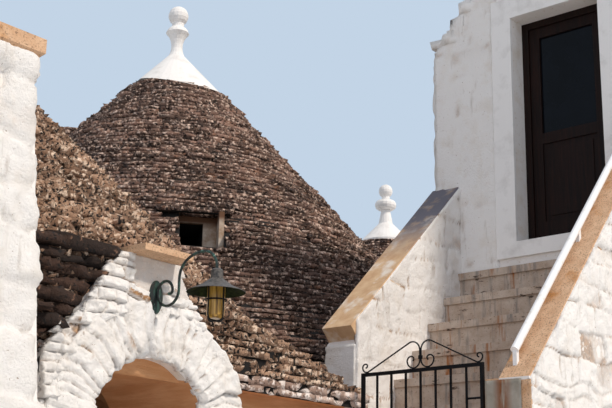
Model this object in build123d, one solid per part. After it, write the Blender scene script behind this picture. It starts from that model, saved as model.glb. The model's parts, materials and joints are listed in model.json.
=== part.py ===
from build123d import *
import os
from math import atan, cos, pi, radians, sin, sqrt

# A whitewashed stone house of three conical drystone roofs, with an arched entrance,
# an outside stair with an iron gate, and a two storey wing with an upper door.
# Millimetres. The front wall faces -Y, the stair climbs towards +X, +Z is up, the ground is z = 0.
# The origin is on the ground, in the plane of the front wall, under the middle of the stair.

# Entrance trullo: a square block under a cone, its corner beside the stair
block_right = -980
block_half = 2200
block_front = 0
block_wall = 600
block_eave = 1900
block_overhang = 30
small_apex = 4670
small_slope = 0.976
skirt_slope = 0.45
small_vault_apex = 4080
small_vault_radius = 1400

# Arched portal that stands proud of the front wall
portal_front = -100
portal_left = -3730
portal_right = -2440
arch_center = -2965
arch_radius = 425
arch_spring = 1560
gable_shoulder = 1900
gable_top = 2540
gable_top_left = -3200
gable_top_right = -2850
recess = 60
cap_stone_depth = 150
cap_stone_thickness = 36
cap_stone_lap = 15

# Chimney stack with battered sides at the left of the portal
stack_foot_left = -5000
stack_foot_right = -3735
stack_top_left = -4830
stack_top_right = -4100
stack_front = -350
stack_back = 450
stack_height = 3330
stack_cap_thickness = 100
stack_cap_overhang = 40

# Courses of stone slabs stand out as ledges on the cones
cone_sides = 36
ledge = 36

# Main trullo: a round drum under the largest cone, which is less steep above its knee
main_x = 1970
main_y = 5190
main_wall_radius = 3750
main_wall_thickness = 650
main_wall_top = 2430
main_overhang = 166
main_eave = 2580
main_slope = 1.105
main_knee = 640
main_knee_slope = 0.909
main_course = 660
main_flat = 6700
main_vault_apex = 6150

# Shoulder of the main roof, a lower and steeper hump on its left
shoulder_azimuth = 130.6
shoulder_reach = 1450
shoulder_radius = 420
shoulder_top = 5700
shoulder_slope = 1.63

# Rear trullo, smaller and standing higher, its drum run into the main one
rear_bearing = 10.76
rear_lap = 556
rear_wall_radius = 2700
rear_wall_thickness = 700
rear_wall_top = 2830
rear_overhang = 254
rear_eave = 2980
rear_slope = 1.09
rear_course = 687
rear_flat = 6060
rear_vault_apex = 5450

# Limewashed caps on the cones; the main one reaches lower on its front
cap_sides = 24
main_cap_rim = 25
main_cap_seat = 6800
main_cap_middle = 6400
main_cap_tilt = 15.8
main_cap_azimuth = -105
rear_cap_radius = 422
rear_cap_rim = 45
small_cap_radius = 400
small_flat = 4560
seat_lift = 40

# Carved pinnacles: a foot, a narrow waist, a cup or a disc, and a ball on a short neck
pinnacle_sides = 16
main_foot = 105
main_waist = 72
main_waist_z = 89
main_cup = 144
main_cup_z = 315
main_lip_z = 400
main_neck = 74
main_ball = 125
main_ball_z = 548
rear_foot = 117
rear_waist = 78
rear_waist_z = 200
rear_disc = 176
rear_disc_z = 317
rear_neck = 65
rear_neck_z = 400
rear_ball = 114
rear_ball_z = 555
small_pinnacle_size = 0.8

# Small window let into the main cone
window_azimuth = -39
window_sill = 3720
window_height = 400
window_left = -60
window_right = 370
window_depth = 500
window_board = 50
hole_left = -40
hole_right = 190
hole_rise = 40
hole_height = 290
lintel_thickness = 60
lintel_lap_left = 220
lintel_lap_right = 70
lintel_bed = 60

# Two storey wing with a gable over the upper door
wing_front = 1000
wing_back = 5500
wing_left = 700
wing_right = -2760
wing_wall = 500
wing_eave = 5200
wing_pitch = 1.19
wing_roof_thickness = 90
wing_roof_overhang = 90
floor_thickness = 200
door_right = -930
door_left = -105
door_sill = 3460
door_head = 5460
sill_thickness = 130
surround_width = 190
surround_proud = 28
frame_recess = 170
frame_depth = 70
frame_width = 62
leaf_thickness = 40
leaf_stile = 95
lock_rail = 4330
glass_thickness = 5
fit = 3

# Outside stair between two parapets
riser = 250
tread = 230
step_count = 13
first_nosing = 950
tread_thickness = 60
nosing = 18
stair_left = 460
stair_right = -1180
parapet_left_outer = 740
parapet_right_outer = -1390
parapet_left_end = -440
parapet_right_end = -1120
left_slope = 0.965
left_datum_x = -500
left_datum_z = 2600
left_coping_lap = 60
right_slope = 1.09
coping_thickness = 130
newel_inner = -1082
newel_length = 250
newel_top = 2010
rail_radius = 26
rail_height = 95
rail_y = -1250
rail_start = 75
rail_post_pitch = 880
rail_post_size = 28

# Iron gate across the stair, hung on two pintles in the front wall
gate_x = -1080
gate_pin_y = -80
gate_pin_radius = 8
pin_clearance = 0.5
eye_radius = 15
hinge_inset = 180
hinge_drop = 320
gate_width = 950
gate_bottom = 1080
gate_top = 2125
gate_gap = 20
stile_size = 22
rail_size = 22
bar_size = 12
bar_count = 7
scroll_radius = 5
scroll_rise = 26
scroll_seat = 0.3
bar_sides = 6
bolt_radius = 7
bolt_offset = 9

# Wall lamp on the portal
lamp_x = -2976
lamp_z = 2325
lamp_reach = 481
lamp_top = 2539
plate_half_width = 50
plate_half_height = 96
plate_depth = 18
coil_radius = 84
coil_z = 2350
arm_radius = 8
arm_sides = 6
holder_radius = 34
holder_height = 55
shade_top = 2372
shade_radius = 158
shade_height = 72
holder_seat = 9
sheet = 3
globe_radius = 48
globe_bottom = 2155
globe_wall = 4
globe_neck = 40
globe_chamfer = 16
cage_gap = 6
cage_wire = 2.5
wire_sides = 4
cage_ring = 2250
cage_ring_height = 8

os.makedirs("parts", exist_ok=True)

def box(x0, x1, y0, y1, z0, z1):
    return Pos((x0 + x1) / 2, (y0 + y1) / 2, (z0 + z1) / 2) * Box(x1 - x0, y1 - y0, z1 - z0)


def write(name, *solids):
    shape = solids[0] if len(solids) == 1 else Compound(children=list(solids))
    export_step(shape, f"parts/{name}.step")


def flat_solid(polygons):
    # A solid bounded by flat polygons
    return Solid(Shell([Face(Wire.make_polygon(points)) for points in polygons]))


def many_sided(points, sides):
    # A solid of flat faces: a (radius, height) outline turned about Z in equal steps
    def ring(point):
        radius, height = point
        if radius == 0:
            return [(0, 0, height)] * sides
        turns = [2 * pi * step / sides for step in range(sides)]
        return [(radius * cos(turn), radius * sin(turn), height) for turn in turns]

    polygons = []
    for start, end in zip(points, points[1:] + points[:1]):
        low, high = ring(start), ring(end)
        if start[0] == end[0] == 0:
            continue
        if start[1] == end[1] and 0 in (start[0], end[0]):
            polygons.append(low if start[0] else high)
            continue
        for step in range(sides):
            after = (step + 1) % sides
            corners = [low[step], low[after], high[after], high[step]]
            polygons.append(list(dict.fromkeys(corners)))
    return flat_solid(polygons)


def along(edge, count):
    # Points evenly along an edge that is drawn in (radius, height)
    places = [edge @ (number / count) for number in range(count + 1)]
    return [(place.X if place.X > 1e-6 else 0, place.Y) for place in places]


def ledged(foot, top, course):
    # A slope from foot to top in (radius, height), set back by a ledge above each course
    length = sqrt((foot[0] - top[0])**2 + (top[1] - foot[1])**2)
    count = round(length / course)
    points = [foot]
    for number in range(1, count):
        share = number / count
        radius = foot[0] + (top[0] - foot[0]) * share
        height = foot[1] + (top[1] - foot[1]) * share
        points += [(radius, height), (radius - ledge, height)]
    return points + [top]


def slab_xz(points, y0, y1):
    # An outline in (x, z), as thick as y0 to y1
    face = make_face(Plane.XZ * Polyline(*points, close=True))
    return Pos(0, y1, 0) * extrude(face, y1 - y0, dir=(0, -1, 0))


def slab_yz(points, x0, x1):
    # An outline in (y, z), as thick as x0 to x1
    face = make_face(Plane.YZ * Polyline(*points, close=True))
    return Pos(x0, 0, 0) * extrude(face, x1 - x0, dir=(1, 0, 0))


# Derived places of the entrance block
block_left = block_right - 2 * block_half
block_back = block_front + 2 * block_half
small_x = (block_left + block_right) / 2
small_y = (block_front + block_back) / 2
wall_face = block_front + recess
wall_inner = wall_face + block_wall


def chimney_stack():
    def corners(left, right, height):
        return [(left, stack_front, height), (right, stack_front, height),
                (right, stack_back, height), (left, stack_back, height)]

    low = corners(stack_foot_left, stack_foot_right, 0)
    high = corners(stack_top_left, stack_top_right, stack_height)
    sides = [[low[n - 1], low[n], high[n], high[n - 1]] for n in range(4)]
    return flat_solid([low, high, *sides])


def chimney_cap():
    lap = stack_cap_overhang
    slab = box(stack_top_left - lap, stack_top_right + lap, stack_front - lap, stack_back + lap,
               stack_height, stack_height + stack_cap_thickness)
    under = slab.faces().sort_by(Axis.Z)[0]
    return chamfer(under.edges(), lap * 0.6)


def portal():
    # The white front with its doorway under a round arch, through the whole wall
    outline = [(portal_left, 0), (portal_right, 0), (portal_right, gable_shoulder),
               (gable_top_right, gable_top), (gable_top_left, gable_top),
               (portal_left, gable_shoulder)]
    front = slab_xz(outline, portal_front, block_front - block_overhang)
    wall = box(portal_left, portal_right, block_front - block_overhang, wall_inner, 0, block_eave)
    spring = box(arch_center - arch_radius, arch_center + arch_radius, portal_front - 10, wall_inner + 10,
                 -10, arch_spring)
    round_head = Pos(arch_center, (portal_front + wall_inner) / 2, arch_spring) * Rot(90, 0, 0) * Cylinder(
        arch_radius, wall_inner - portal_front + 20)
    return front + wall - spring - round_head


def gable_cap_stone():
    return box(gable_top_left, gable_top_right + cap_stone_lap, portal_front - cap_stone_depth,
               block_front - block_overhang, gable_top, gable_top + cap_stone_thickness)


def block_walls():
    inner_left = block_left + block_wall
    inner_right = block_right - block_wall
    inner_back = block_back - block_wall
    stack = chimney_stack()
    write("front_wall_left", box(block_left, portal_left, wall_face, wall_inner, 0, block_eave) - stack)
    write("front_wall_right", box(portal_right, block_right, wall_face, wall_inner, 0, block_eave))
    write("block_left_wall", box(block_left, inner_left, wall_inner, inner_back, 0, block_eave))
    write("block_right_wall", box(inner_right, block_right, wall_inner, inner_back, 0, block_eave))
    write("block_back_wall", box(block_left, block_right, inner_back, block_back, 0, block_eave))


# Derived places of the round trulli
main_foot_radius = main_wall_radius + main_overhang
main_knee_z = main_eave + main_slope * (main_foot_radius - main_knee)
main_apex = main_knee_z + main_knee_slope * main_knee
rear_distance = main_wall_radius + rear_wall_radius - rear_lap
rear_x = main_x + rear_distance * cos(radians(rear_bearing))
rear_y = main_y + rear_distance * sin(radians(rear_bearing))
rear_foot_radius = rear_wall_radius + rear_overhang
rear_apex = rear_eave + rear_slope * rear_foot_radius
below = 10


def shoulder():
    foot = shoulder_radius + (shoulder_top - main_wall_top) / shoulder_slope
    ridge = slab_yz([(-foot, main_wall_top), (foot, main_wall_top), (shoulder_radius, shoulder_top),
                     (-shoulder_radius, shoulder_top)], 0, shoulder_reach)
    end = many_sided([(0, main_wall_top), (foot, main_wall_top), (shoulder_radius, shoulder_top),
                      (0, shoulder_top)], cap_sides)
    return Rot(0, 0, shoulder_azimuth) * (ridge + Pos(shoulder_reach, 0, 0) * end)


def main_cone():
    flat_radius = (main_apex - main_flat) / main_knee_slope
    slope = ledged((main_foot_radius, main_eave), (main_knee, main_knee_z), main_course)
    outline = [(0, main_wall_top), (main_foot_radius, main_wall_top), *slope,
               (flat_radius, main_flat), (0, main_flat)]
    return Pos(main_x, main_y, 0) * (many_sided(outline, cone_sides) + shoulder())


def main_envelope():
    # Everything inside the main drum and its roof, to trim what runs into it
    drum = many_sided([(0, -below), (main_wall_radius, -below), (main_wall_radius, main_wall_top + below),
                       (0, main_wall_top + below)], cone_sides)
    return Pos(main_x, main_y, 0) * drum + main_cone()


def vault(radius, foot, apex):
    return many_sided([(0, foot - below), (radius, foot - below), (radius, foot), (0, apex)], cone_sides)


def small_roof():
    # A cone that flattens towards the corners and is cut off straight above the walls
    lap = block_overhang
    corner = sqrt(2) * (block_half + lap) / cos(pi / cone_sides)
    edge = block_eave + 40
    meet = (small_apex - edge - skirt_slope * corner) / (small_slope - skirt_slope)
    meet_z = small_apex - small_slope * meet
    flat_radius = (small_apex - small_flat) / small_slope
    outline = [(0, block_eave), (corner, block_eave), (corner, edge), (meet, meet_z),
               (flat_radius, small_flat), (0, small_flat)]
    hollow = vault(small_vault_radius, block_eave, small_vault_apex)
    cone = Pos(small_x, small_y, 0) * (many_sided(outline, cone_sides) - hollow)
    cut = box(block_left - lap, block_right + lap, block_front - lap, block_back + lap,
              block_eave, small_apex)
    return (cone & cut) - main_envelope() - chimney_stack()


def window_place():
    return Pos(main_x, main_y, 0) * Rot(0, 0, window_azimuth)


def window_face(height):
    # Distance of the roof surface from the axis
    return main_knee + (main_knee_z - height) / main_slope


def lintel_box(front, back):
    top = window_sill + window_height
    return box(window_left - lintel_lap_left, window_right + lintel_lap_right, front, back,
               top, top + lintel_thickness)


def window_void():
    face = window_face(window_sill)
    back = window_depth - face
    outside = -face - window_depth
    niche = box(window_left, window_right, outside, back, window_sill, window_sill + window_height)
    shaft = box(hole_left, hole_right, outside, 0, window_sill + hole_rise,
                window_sill + hole_rise + hole_height)
    return window_place() * (niche + shaft + lintel_box(outside, back - lintel_bed))


def window_surround():
    # Plastered back and right reveal of the niche, with the small opening through it
    back = window_depth - window_face(window_sill)
    front = back - window_board
    top = window_sill + window_height
    board = box(window_left, window_right, front, back, window_sill, top)
    reveal = box(window_right - window_board, window_right, front - window_depth / 2, front, window_sill, top)
    hole = box(hole_left, hole_right, front - below, back + below, window_sill + hole_rise,
               window_sill + hole_rise + hole_height)
    return window_place() * (board + reveal - hole)


def window_lintel():
    back = window_depth - window_face(window_sill)
    front = -window_face(window_sill + window_height) - lintel_bed
    return window_place() * lintel_box(front, back - lintel_bed)


def main_roof():
    inner = main_wall_radius - main_wall_thickness
    hollow = Pos(main_x, main_y, 0) * vault(inner, main_wall_top, main_vault_apex)
    return main_cone() - hollow - window_void()


def ring(radius, thickness, top):
    outline = [(radius - thickness, 0), (radius, 0), (radius, top), (radius - thickness, top)]
    return many_sided(outline, cone_sides)


def quarter(turn, radius, top):
    reach = 2 * radius
    return Rot(0, 0, turn) * box(0, reach, 0, reach, -below, top + below)


def main_walls():
    drum = Pos(main_x, main_y, 0) * ring(main_wall_radius, main_wall_thickness, main_wall_top)
    drum = drum - box(block_left, block_right, block_front, block_back, -below, block_eave)
    for name, turn in (("right", -45), ("back", 45), ("left", 135), ("front", 225)):
        piece = drum & (Pos(main_x, main_y, 0) * quarter(turn, main_wall_radius, main_wall_top))
        write(f"main_wall_{name}", piece)


def rear_walls():
    drum = Pos(rear_x, rear_y, 0) * ring(rear_wall_radius, rear_wall_thickness, rear_wall_top)
    drum = drum - main_envelope()
    for name, turn in (("right", -45), ("back", 45), ("left", 135), ("front", 225)):
        side = drum & (Pos(rear_x, rear_y, 0) * quarter(turn, rear_wall_radius, rear_wall_top))
        write(f"rear_wall_{name}", *side.solids())


def rear_roof():
    flat_radius = (rear_apex - rear_flat) / rear_slope
    rim = (rear_cap_radius, rear_apex - rear_slope * rear_cap_radius)
    outline = [(0, rear_wall_top), (rear_foot_radius, rear_wall_top),
               *ledged((rear_foot_radius, rear_eave), rim, rear_course), (flat_radius, rear_flat),
               (0, rear_flat)]
    hollow = vault(rear_wall_radius - rear_wall_thickness, rear_wall_top, rear_vault_apex)
    return Pos(rear_x, rear_y, 0) * (many_sided(outline, cone_sides) - hollow) - main_envelope()


def cap(apex, slope, flat, radius, rim, foot, seat):
    # A conical shell of plaster over the top of the cone, with a flat seat for the pinnacle
    low = apex - slope * radius
    outline = [(0, flat), ((apex - flat) / slope, flat), (radius, low), (radius, low + rim),
               (foot, seat), (0, seat)]
    return many_sided(outline, cone_sides)


def main_cap():
    whole = cap(main_apex, main_knee_slope, main_flat, main_knee, main_cap_rim, main_foot, main_cap_seat)
    reach = 2 * main_knee
    above = Rot(0, 0, main_cap_azimuth) * Rot(0, main_cap_tilt, 0) * box(-reach, reach, -reach, reach,
                                                                         0, reach)
    return Pos(main_x, main_y, 0) * (whole & (Pos(0, 0, main_cap_middle) * above))


def ball(neck, radius, middle):
    # Outline of a ball from its neck round to its top
    low = middle - sqrt(radius**2 - neck**2)
    return along(ThreePointArc((neck, low), (radius, middle), (0, middle + radius)), 7)


def main_pinnacle():
    stem = along(ThreePointArc((main_foot, 0), (main_waist, main_waist_z), (main_cup, main_cup_z)), 6)
    round_lip = ((main_cup + main_neck) / 2, main_lip_z - main_foot / 4)
    lip = along(ThreePointArc((main_cup, main_cup_z), round_lip, (main_neck, main_lip_z)), 3)
    return many_sided([(0, 0), *stem, *lip[1:], *ball(main_neck, main_ball, main_ball_z)], pinnacle_sides)


def disc_pinnacle(size):
    bell = along(Line((rear_foot, 0), (rear_waist, rear_waist_z)), 1)
    disc = along(ThreePointArc((rear_waist, 2 * rear_disc_z - rear_neck_z), (rear_disc, rear_disc_z),
                               (rear_neck, rear_neck_z)), 7)
    outline = [(0, 0), *bell, *disc, *ball(rear_neck, rear_ball, rear_ball_z)]
    return many_sided([(radius * size, height * size) for radius, height in outline], pinnacle_sides)


def wing_top(y):
    return wing_eave + wing_pitch * min(wing_left - y, y - wing_right)


wing_ridge = (wing_left + wing_right) / 2
wing_roof_rise = wing_roof_thickness / cos(atan(wing_pitch))


def wing_walls():
    # The front gable wall rises as a verge to the top of the roof slabs behind it
    x0 = wing_front
    x1 = wing_front + wing_wall
    base = door_sill - sill_thickness
    verge = wing_eave + wing_roof_rise
    turn = wing_left - (door_head - verge) / wing_pitch
    turn_right = wing_right + (door_head - verge) / wing_pitch
    write("wing_front_base", box(x0, x1, wing_right, wing_left, 0, base))
    write("wing_front_left", slab_yz([(door_left, base), (wing_left, base), (wing_left, verge),
                                      (turn, door_head), (door_left, door_head)], x0, x1))
    write("wing_front_right", slab_yz([(door_right, base), (wing_right, base), (wing_right, verge),
                                       (turn_right, door_head), (door_right, door_head)], x0, x1))
    write("wing_front_gable", slab_yz([(turn_right, door_head), (turn, door_head),
                                       (wing_ridge, wing_top(wing_ridge) + wing_roof_rise)], x0, x1))
    write("wing_rear_wall", slab_yz([(wing_right, 0), (wing_left, 0), (wing_left, wing_eave),
                                     (wing_ridge, wing_top(wing_ridge)), (wing_right, wing_eave)],
                                    wing_back - wing_wall, wing_back))
    inner_left = wing_left - wing_wall
    inner_right = wing_right + wing_wall
    end = wing_back - wing_wall
    write("wing_left_wall", box(x1, end, inner_left, wing_left, 0, wing_eave))
    write("wing_right_wall", box(x1, end, wing_right, inner_right, 0, wing_eave))
    write("wing_floor", box(x1, end, inner_right, inner_left, door_sill - floor_thickness, door_sill))


def wing_roof(side):
    # One slope of stone slabs from the ridge to just past the eave
    edge = wing_left if side > 0 else wing_right
    y_eave = edge + side * wing_roof_overhang
    z_eave = wing_eave - wing_pitch * wing_roof_overhang
    z_ridge = wing_top(wing_ridge)
    points = [(y_eave, z_eave), (y_eave, z_eave + wing_roof_rise),
              (wing_ridge, z_ridge + wing_roof_rise), (wing_ridge, z_ridge)]
    return slab_yz(points, wing_front + wing_wall, wing_back)


def door_surround():
    w = surround_width
    outer = box(wing_front - surround_proud, wing_front, door_right - w, door_left + w,
                door_sill - sill_thickness, door_head + w)
    return outer - box(wing_front - 100, wing_front + 10, door_right, door_left, door_sill, door_head)


def door_frame():
    x0 = wing_front + frame_recess
    outer = box(x0, x0 + frame_depth, door_right, door_left, door_sill, door_head)
    inner = box(x0 - 10, x0 + frame_depth + 10, door_right + frame_width, door_left - frame_width,
                door_sill - 10, door_head - frame_width)
    return outer - inner


def door_leaf():
    # Stiles and rails with an open upper light and a fielded panel below
    x0 = wing_front + frame_recess + 15
    y0 = door_right + frame_width + fit
    y1 = door_left - frame_width - fit
    z1 = door_head - frame_width - fit
    leaf = box(x0, x0 + leaf_thickness, y0, y1, door_sill + fit, z1)
    light = box(x0 - 5, x0 + leaf_thickness + 5, y0 + leaf_stile, y1 - leaf_stile,
                lock_rail + leaf_stile, z1 - leaf_stile)
    sunk = box(x0 - 5, x0 + 12, y0 + leaf_stile, y1 - leaf_stile, door_sill + 2 * leaf_stile, lock_rail)
    field = box(x0 + 4, x0 + 12, y0 + leaf_stile + 45, y1 - leaf_stile - 45,
                door_sill + 2 * leaf_stile + 45, lock_rail - 45)
    return leaf - light - sunk + field


def door_glass():
    x0 = wing_front + frame_recess + 15 + leaf_thickness / 2
    y0 = door_right + frame_width + fit + leaf_stile
    y1 = door_left - frame_width - fit - leaf_stile
    z1 = door_head - frame_width - fit - leaf_stile
    return box(x0, x0 + glass_thickness, y0, y1, lock_rail + leaf_stile, z1)


def left_top(x):
    return left_datum_z + left_slope * (x - left_datum_x)


def right_top(x):
    return newel_top + right_slope * (x - parapet_right_end)


left_drop = coping_thickness / cos(atan(left_slope))
right_drop = coping_thickness / cos(atan(right_slope))
right_wedge = parapet_right_end + right_drop / right_slope


def nosing_x(step):
    return first_nosing - tread * step


def tread_z(step):
    return riser * (step_count - step)


def stair_body():
    # The stepped mass of masonry that carries the treads
    points = [(wing_front, 0), (wing_front, tread_z(0) - tread_thickness)]
    for step in range(step_count):
        points.append((nosing_x(step), tread_z(step) - tread_thickness))
        points.append((nosing_x(step), max(tread_z(step + 1) - tread_thickness, 0)))
    flight = slab_xz(points, stair_right, stair_left)
    block = box(nosing_x(step_count), block_right, wall_face, stair_left + below, -below, tread_z(0))
    return flight - block - newel()


def stair_treads():
    slabs = []
    for step in range(step_count):
        back = wing_front if step == 0 else nosing_x(step - 1)
        left = stair_left if nosing_x(step) - nosing > block_right else wall_face
        slab = box(nosing_x(step) - nosing, back, stair_right, left,
                   tread_z(step) - tread_thickness, tread_z(step))
        slabs.append(slab - newel())
    return slabs


def left_parapet():
    low = left_top(parapet_left_end) - left_drop
    high = left_top(wing_front) - left_drop
    return slab_xz([(parapet_left_end, 0), (wing_front, 0), (wing_front, high), (parapet_left_end, low)],
                   stair_left, parapet_left_outer)


def left_coping():
    # Its lower end is cut square to the slope
    angle = atan(left_slope)
    end = parapet_left_end - left_coping_lap
    square = (end + coping_thickness * sin(angle), left_top(end) - coping_thickness * cos(angle))
    points = [(end, left_top(end)), square, (wing_front, left_top(wing_front) - left_drop),
              (wing_front, left_top(wing_front))]
    return slab_xz(points, stair_left, parapet_left_outer)


def right_parapet():
    high = right_top(wing_front) - right_drop
    return slab_xz([(parapet_right_end, 0), (wing_front, 0), (wing_front, high), (right_wedge, newel_top),
                    (parapet_right_end, newel_top)], parapet_right_outer, stair_right)


def right_coping():
    # It runs out to an edge level with the top of the newel
    high = right_top(wing_front)
    return slab_xz([(parapet_right_end, newel_top), (right_wedge, newel_top),
                    (wing_front, high - right_drop), (wing_front, high)],
                   parapet_right_outer, stair_right)


def newel():
    # A pier beside the foot of the right parapet, which the gate closes against
    x0 = parapet_right_end
    return box(x0, x0 + newel_length, stair_right, newel_inner, 0, newel_top)


def handrail():
    # A straight white tube over the right coping, on short posts
    x0 = parapet_right_end + rail_start
    low = Vector(x0, rail_y, right_top(x0) + rail_height)
    high = Vector(wing_front, rail_y, right_top(wing_front) + rail_height)
    run = high - low
    tube = extrude(Plane(origin=low, z_dir=run) * Circle(rail_radius), run.length + 2 * rail_radius)
    half = rail_post_size / 2
    x = x0 + half
    while x < wing_front:
        foot = [(x - half, right_top(x - half)), (x + half, right_top(x + half))]
        head = [(x + half, right_top(x + half) + rail_height), (x - half, right_top(x - half) + rail_height)]
        tube += slab_xz([*foot, *head], rail_y - half, rail_y + half)
        x = x + rail_post_pitch
    return tube - box(wing_front, wing_front + rail_height, rail_y - rail_height, rail_y + rail_height,
                      newel_top, high.Z + rail_height)


# Local places along the gate: u runs from the hinge stile to the bolt stile, v is up
def gate_box(u0, u1, v0, v1, size):
    return box(gate_x - size / 2, gate_x + size / 2, gate_hang - u1, gate_hang - u0,
               v0, v1)


gate_hang = gate_pin_y - eye_radius - 3


def gate_frame():
    w = gate_width
    frame = gate_box(0, stile_size, gate_bottom, gate_top, stile_size)
    frame += gate_box(w - stile_size, w, gate_bottom, gate_top, stile_size)
    frame += gate_box(0, w, gate_top - rail_size, gate_top, rail_size)
    frame += gate_box(0, w, gate_bottom + 60, gate_bottom + 60 + rail_size, rail_size)
    pitch = (w - stile_size) / (bar_count + 1)
    for number in range(1, bar_count + 1):
        u = stile_size / 2 + pitch * number
        frame += gate_box(u - bar_size / 2, u + bar_size / 2, gate_bottom + 60, gate_top, bar_size)
    for z in hinge_heights():
        eye = Pos(gate_x, gate_pin_y, z) * Cylinder(eye_radius, 36)
        strap = box(gate_x - 5, gate_x + 5, gate_hang - 4, gate_pin_y, z - 18, z + 18)
        bore = Pos(gate_x, gate_pin_y, z) * Cylinder(gate_pin_radius + pin_clearance, 60)
        frame += eye + strap
        frame -= bore
    return frame


def hinge_heights():
    return (gate_bottom + hinge_inset, gate_top - hinge_drop)


def gate_pintles():
    # Two hooks built into the front wall; each pin passes through an eye of the gate
    hooks = []
    for z in hinge_heights():
        low = z - 18 - 8
        pin = Pos(gate_x, gate_pin_y, (low + z + 26) / 2) * Cylinder(gate_pin_radius, z + 26 - low)
        arm = box(gate_x - 7, gate_x + 7, gate_pin_y, wall_face, low - 14, low)
        knuckle = Pos(gate_x, gate_pin_y, low - 7) * Cylinder(gate_pin_radius + 3, 14)
        hooks.append(pin + arm + knuckle)
    return hooks


def chain(start, heading, moves):
    # Arcs (radius, turn) and straights (0, length) laid end to end in a plane
    edges = []
    point = Vector(*start)
    angle = heading
    for radius, amount in moves:
        tangent = (cos(radians(angle)), sin(radians(angle)))
        if radius == 0:
            edge = Line(point, point + Vector(*tangent) * amount)
        else:
            edge = JernArc(point, tangent, radius, amount)
            angle = angle + amount
        point = edge @ 1
        edges.append(edge)
    return Wire(edges)


def scroll_path():
    # One half of the crest: a small end curl, a straight rise, and a large volute
    half = gate_width / 2
    r_end = 34
    r_crest = 58
    r_volute = 50

    def moves(straight, drop):
        return [(13, 170), (24, 110), (r_end, 80 + scroll_rise), (0, straight),
                (r_crest, -scroll_rise - 90), (0, drop), (r_volute, -170), (30, -130), (15, -120)]

    trial = chain((0, 0), 0, moves(200, 20)).bounding_box()
    straight = 200 + (half - 2 * scroll_radius - trial.size.X) / cos(radians(scroll_rise))
    path = chain((0, 0), 0, moves(straight, 20))
    crest = path.bounding_box().max.Y
    low_curl = (path.edges()[2] @ 1).Y - r_end * (1 - cos(radians(scroll_rise)))
    drop = crest - low_curl - r_crest - r_volute
    path = chain((0, 0), 0, moves(straight, drop))
    size = path.bounding_box()
    return Pos(scroll_radius - size.min.X, scroll_radius + scroll_seat - low_curl, 0) * path


def gate_scrolls():
    path = scroll_path()
    plane = Plane(origin=(gate_x, gate_hang, gate_top), x_dir=(0, -1, 0), z_dir=(-1, 0, 0))
    placed = plane.from_local_coords(path)
    start = Plane(origin=placed @ 0, x_dir=(1, 0, 0), z_dir=placed % 0)
    left = sweep(start * RegularPolygon(scroll_radius, bar_sides), path=placed)
    middle = Plane(origin=(0, gate_hang - gate_width / 2, 0), z_dir=(0, 1, 0))
    right = mirror(left, about=middle)
    collar = Pos(gate_x, gate_hang - gate_width / 2, gate_top + 72) * Box(14, 26, 22)
    return left + right + collar


def gate_bolt():
    # A sliding bolt between the last bar and the bolt stile, drawn back from the pier
    z = gate_top - 215
    u1 = gate_width + gate_gap - 9
    u0 = gate_width - 135
    face = gate_x + stile_size / 2
    x = face + bolt_offset
    rod = Pos(x, gate_hang - (u0 + u1) / 2, z) * Rot(90, 0, 0) * Cylinder(bolt_radius, u1 - u0)
    knob = Pos(x + 16, gate_hang - u0 - 40, z) * Rot(0, 90, 0) * Cylinder(5, 26)
    plate = box(face, x - 6, gate_hang - gate_width, gate_hang - gate_width + stile_size, z - 22, z + 22)
    guide = box(x - bolt_offset, x + 10, gate_hang - gate_width, gate_hang - gate_width + 16,
                z - 11, z + 11)
    return rod + knob + plate + guide


lamp_y = portal_front - lamp_reach


def lamp_bracket():
    # An oval wall plate and a tube that coils once, rises and bends over to the lamp
    turns = [2 * pi * step / cap_sides for step in range(cap_sides)]
    oval = [(lamp_x + plate_half_width * cos(turn), lamp_z + plate_half_height * sin(turn)) for turn in turns]
    plate = slab_xz(oval, portal_front - plate_depth, portal_front)
    plate = chamfer(plate.faces().sort_by(Axis.Y)[0].edges(), plate_depth * 0.4)
    side = Plane(origin=(lamp_x, portal_front, 0), x_dir=(0, -1, 0), z_dir=(-1, 0, 0))
    coil = chain((0, 0), -40, [(18, 130), (coil_radius * 0.7, 180), (coil_radius, 180)])
    size = coil.bounding_box()
    seat = plate_depth + arm_radius * 0.6
    coil = Pos(seat - size.min.X, coil_z - size.min.Y - coil_radius, 0) * coil
    bend = lamp_top - shade_top - holder_height
    crown = (lamp_reach - bend, lamp_top)
    rise = Spline(coil @ 1, (coil @ 1 + Vector(4, 90)), crown, tangents=(coil % 1, (1, 0)))
    over = RadiusArc(crown, (lamp_reach, lamp_top - bend), bend)
    path = side.from_local_coords(Wire([*coil.edges(), rise, over]))
    start = Plane(origin=path @ 0, x_dir=(1, 0, 0), z_dir=path % 0)
    return plate + sweep(start * RegularPolygon(arm_radius, arm_sides), path=path)


def lamp_shade():
    # A lamp holder and a spun dish, one sheet thick, under it
    low = shade_top - shade_height
    waist = (shade_radius * 0.55, shade_top - shade_height * 0.55)
    outline = [(0, shade_top + holder_height), (holder_radius * 0.6, shade_top + holder_height),
               (holder_radius, shade_top + holder_height * 0.8), (holder_radius, shade_top), waist,
               (shade_radius, low), (shade_radius, low - sheet), (waist[0], waist[1] - sheet),
               (holder_radius, shade_top - holder_seat), (0, shade_top - holder_seat)]
    return Pos(lamp_x, lamp_y, 0) * many_sided(outline, cap_sides)


def lamp_globe():
    # A jar of amber glass with a chamfered bottom
    r = globe_radius
    neck = holder_radius - globe_wall
    top = shade_top - holder_seat
    shoulder_z = top - globe_neck
    bottom = globe_bottom + globe_chamfer
    outer = [(0, globe_bottom), (r - globe_chamfer, globe_bottom), (r, bottom), (r, shoulder_z),
             (neck, top - globe_neck / 2), (neck, top)]
    inner = [(max(x - globe_wall, 0), z + globe_wall * (z < bottom)) for x, z in reversed(outer)]
    return Pos(lamp_x, lamp_y, 0) * many_sided(outer + inner, pinnacle_sides)


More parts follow.
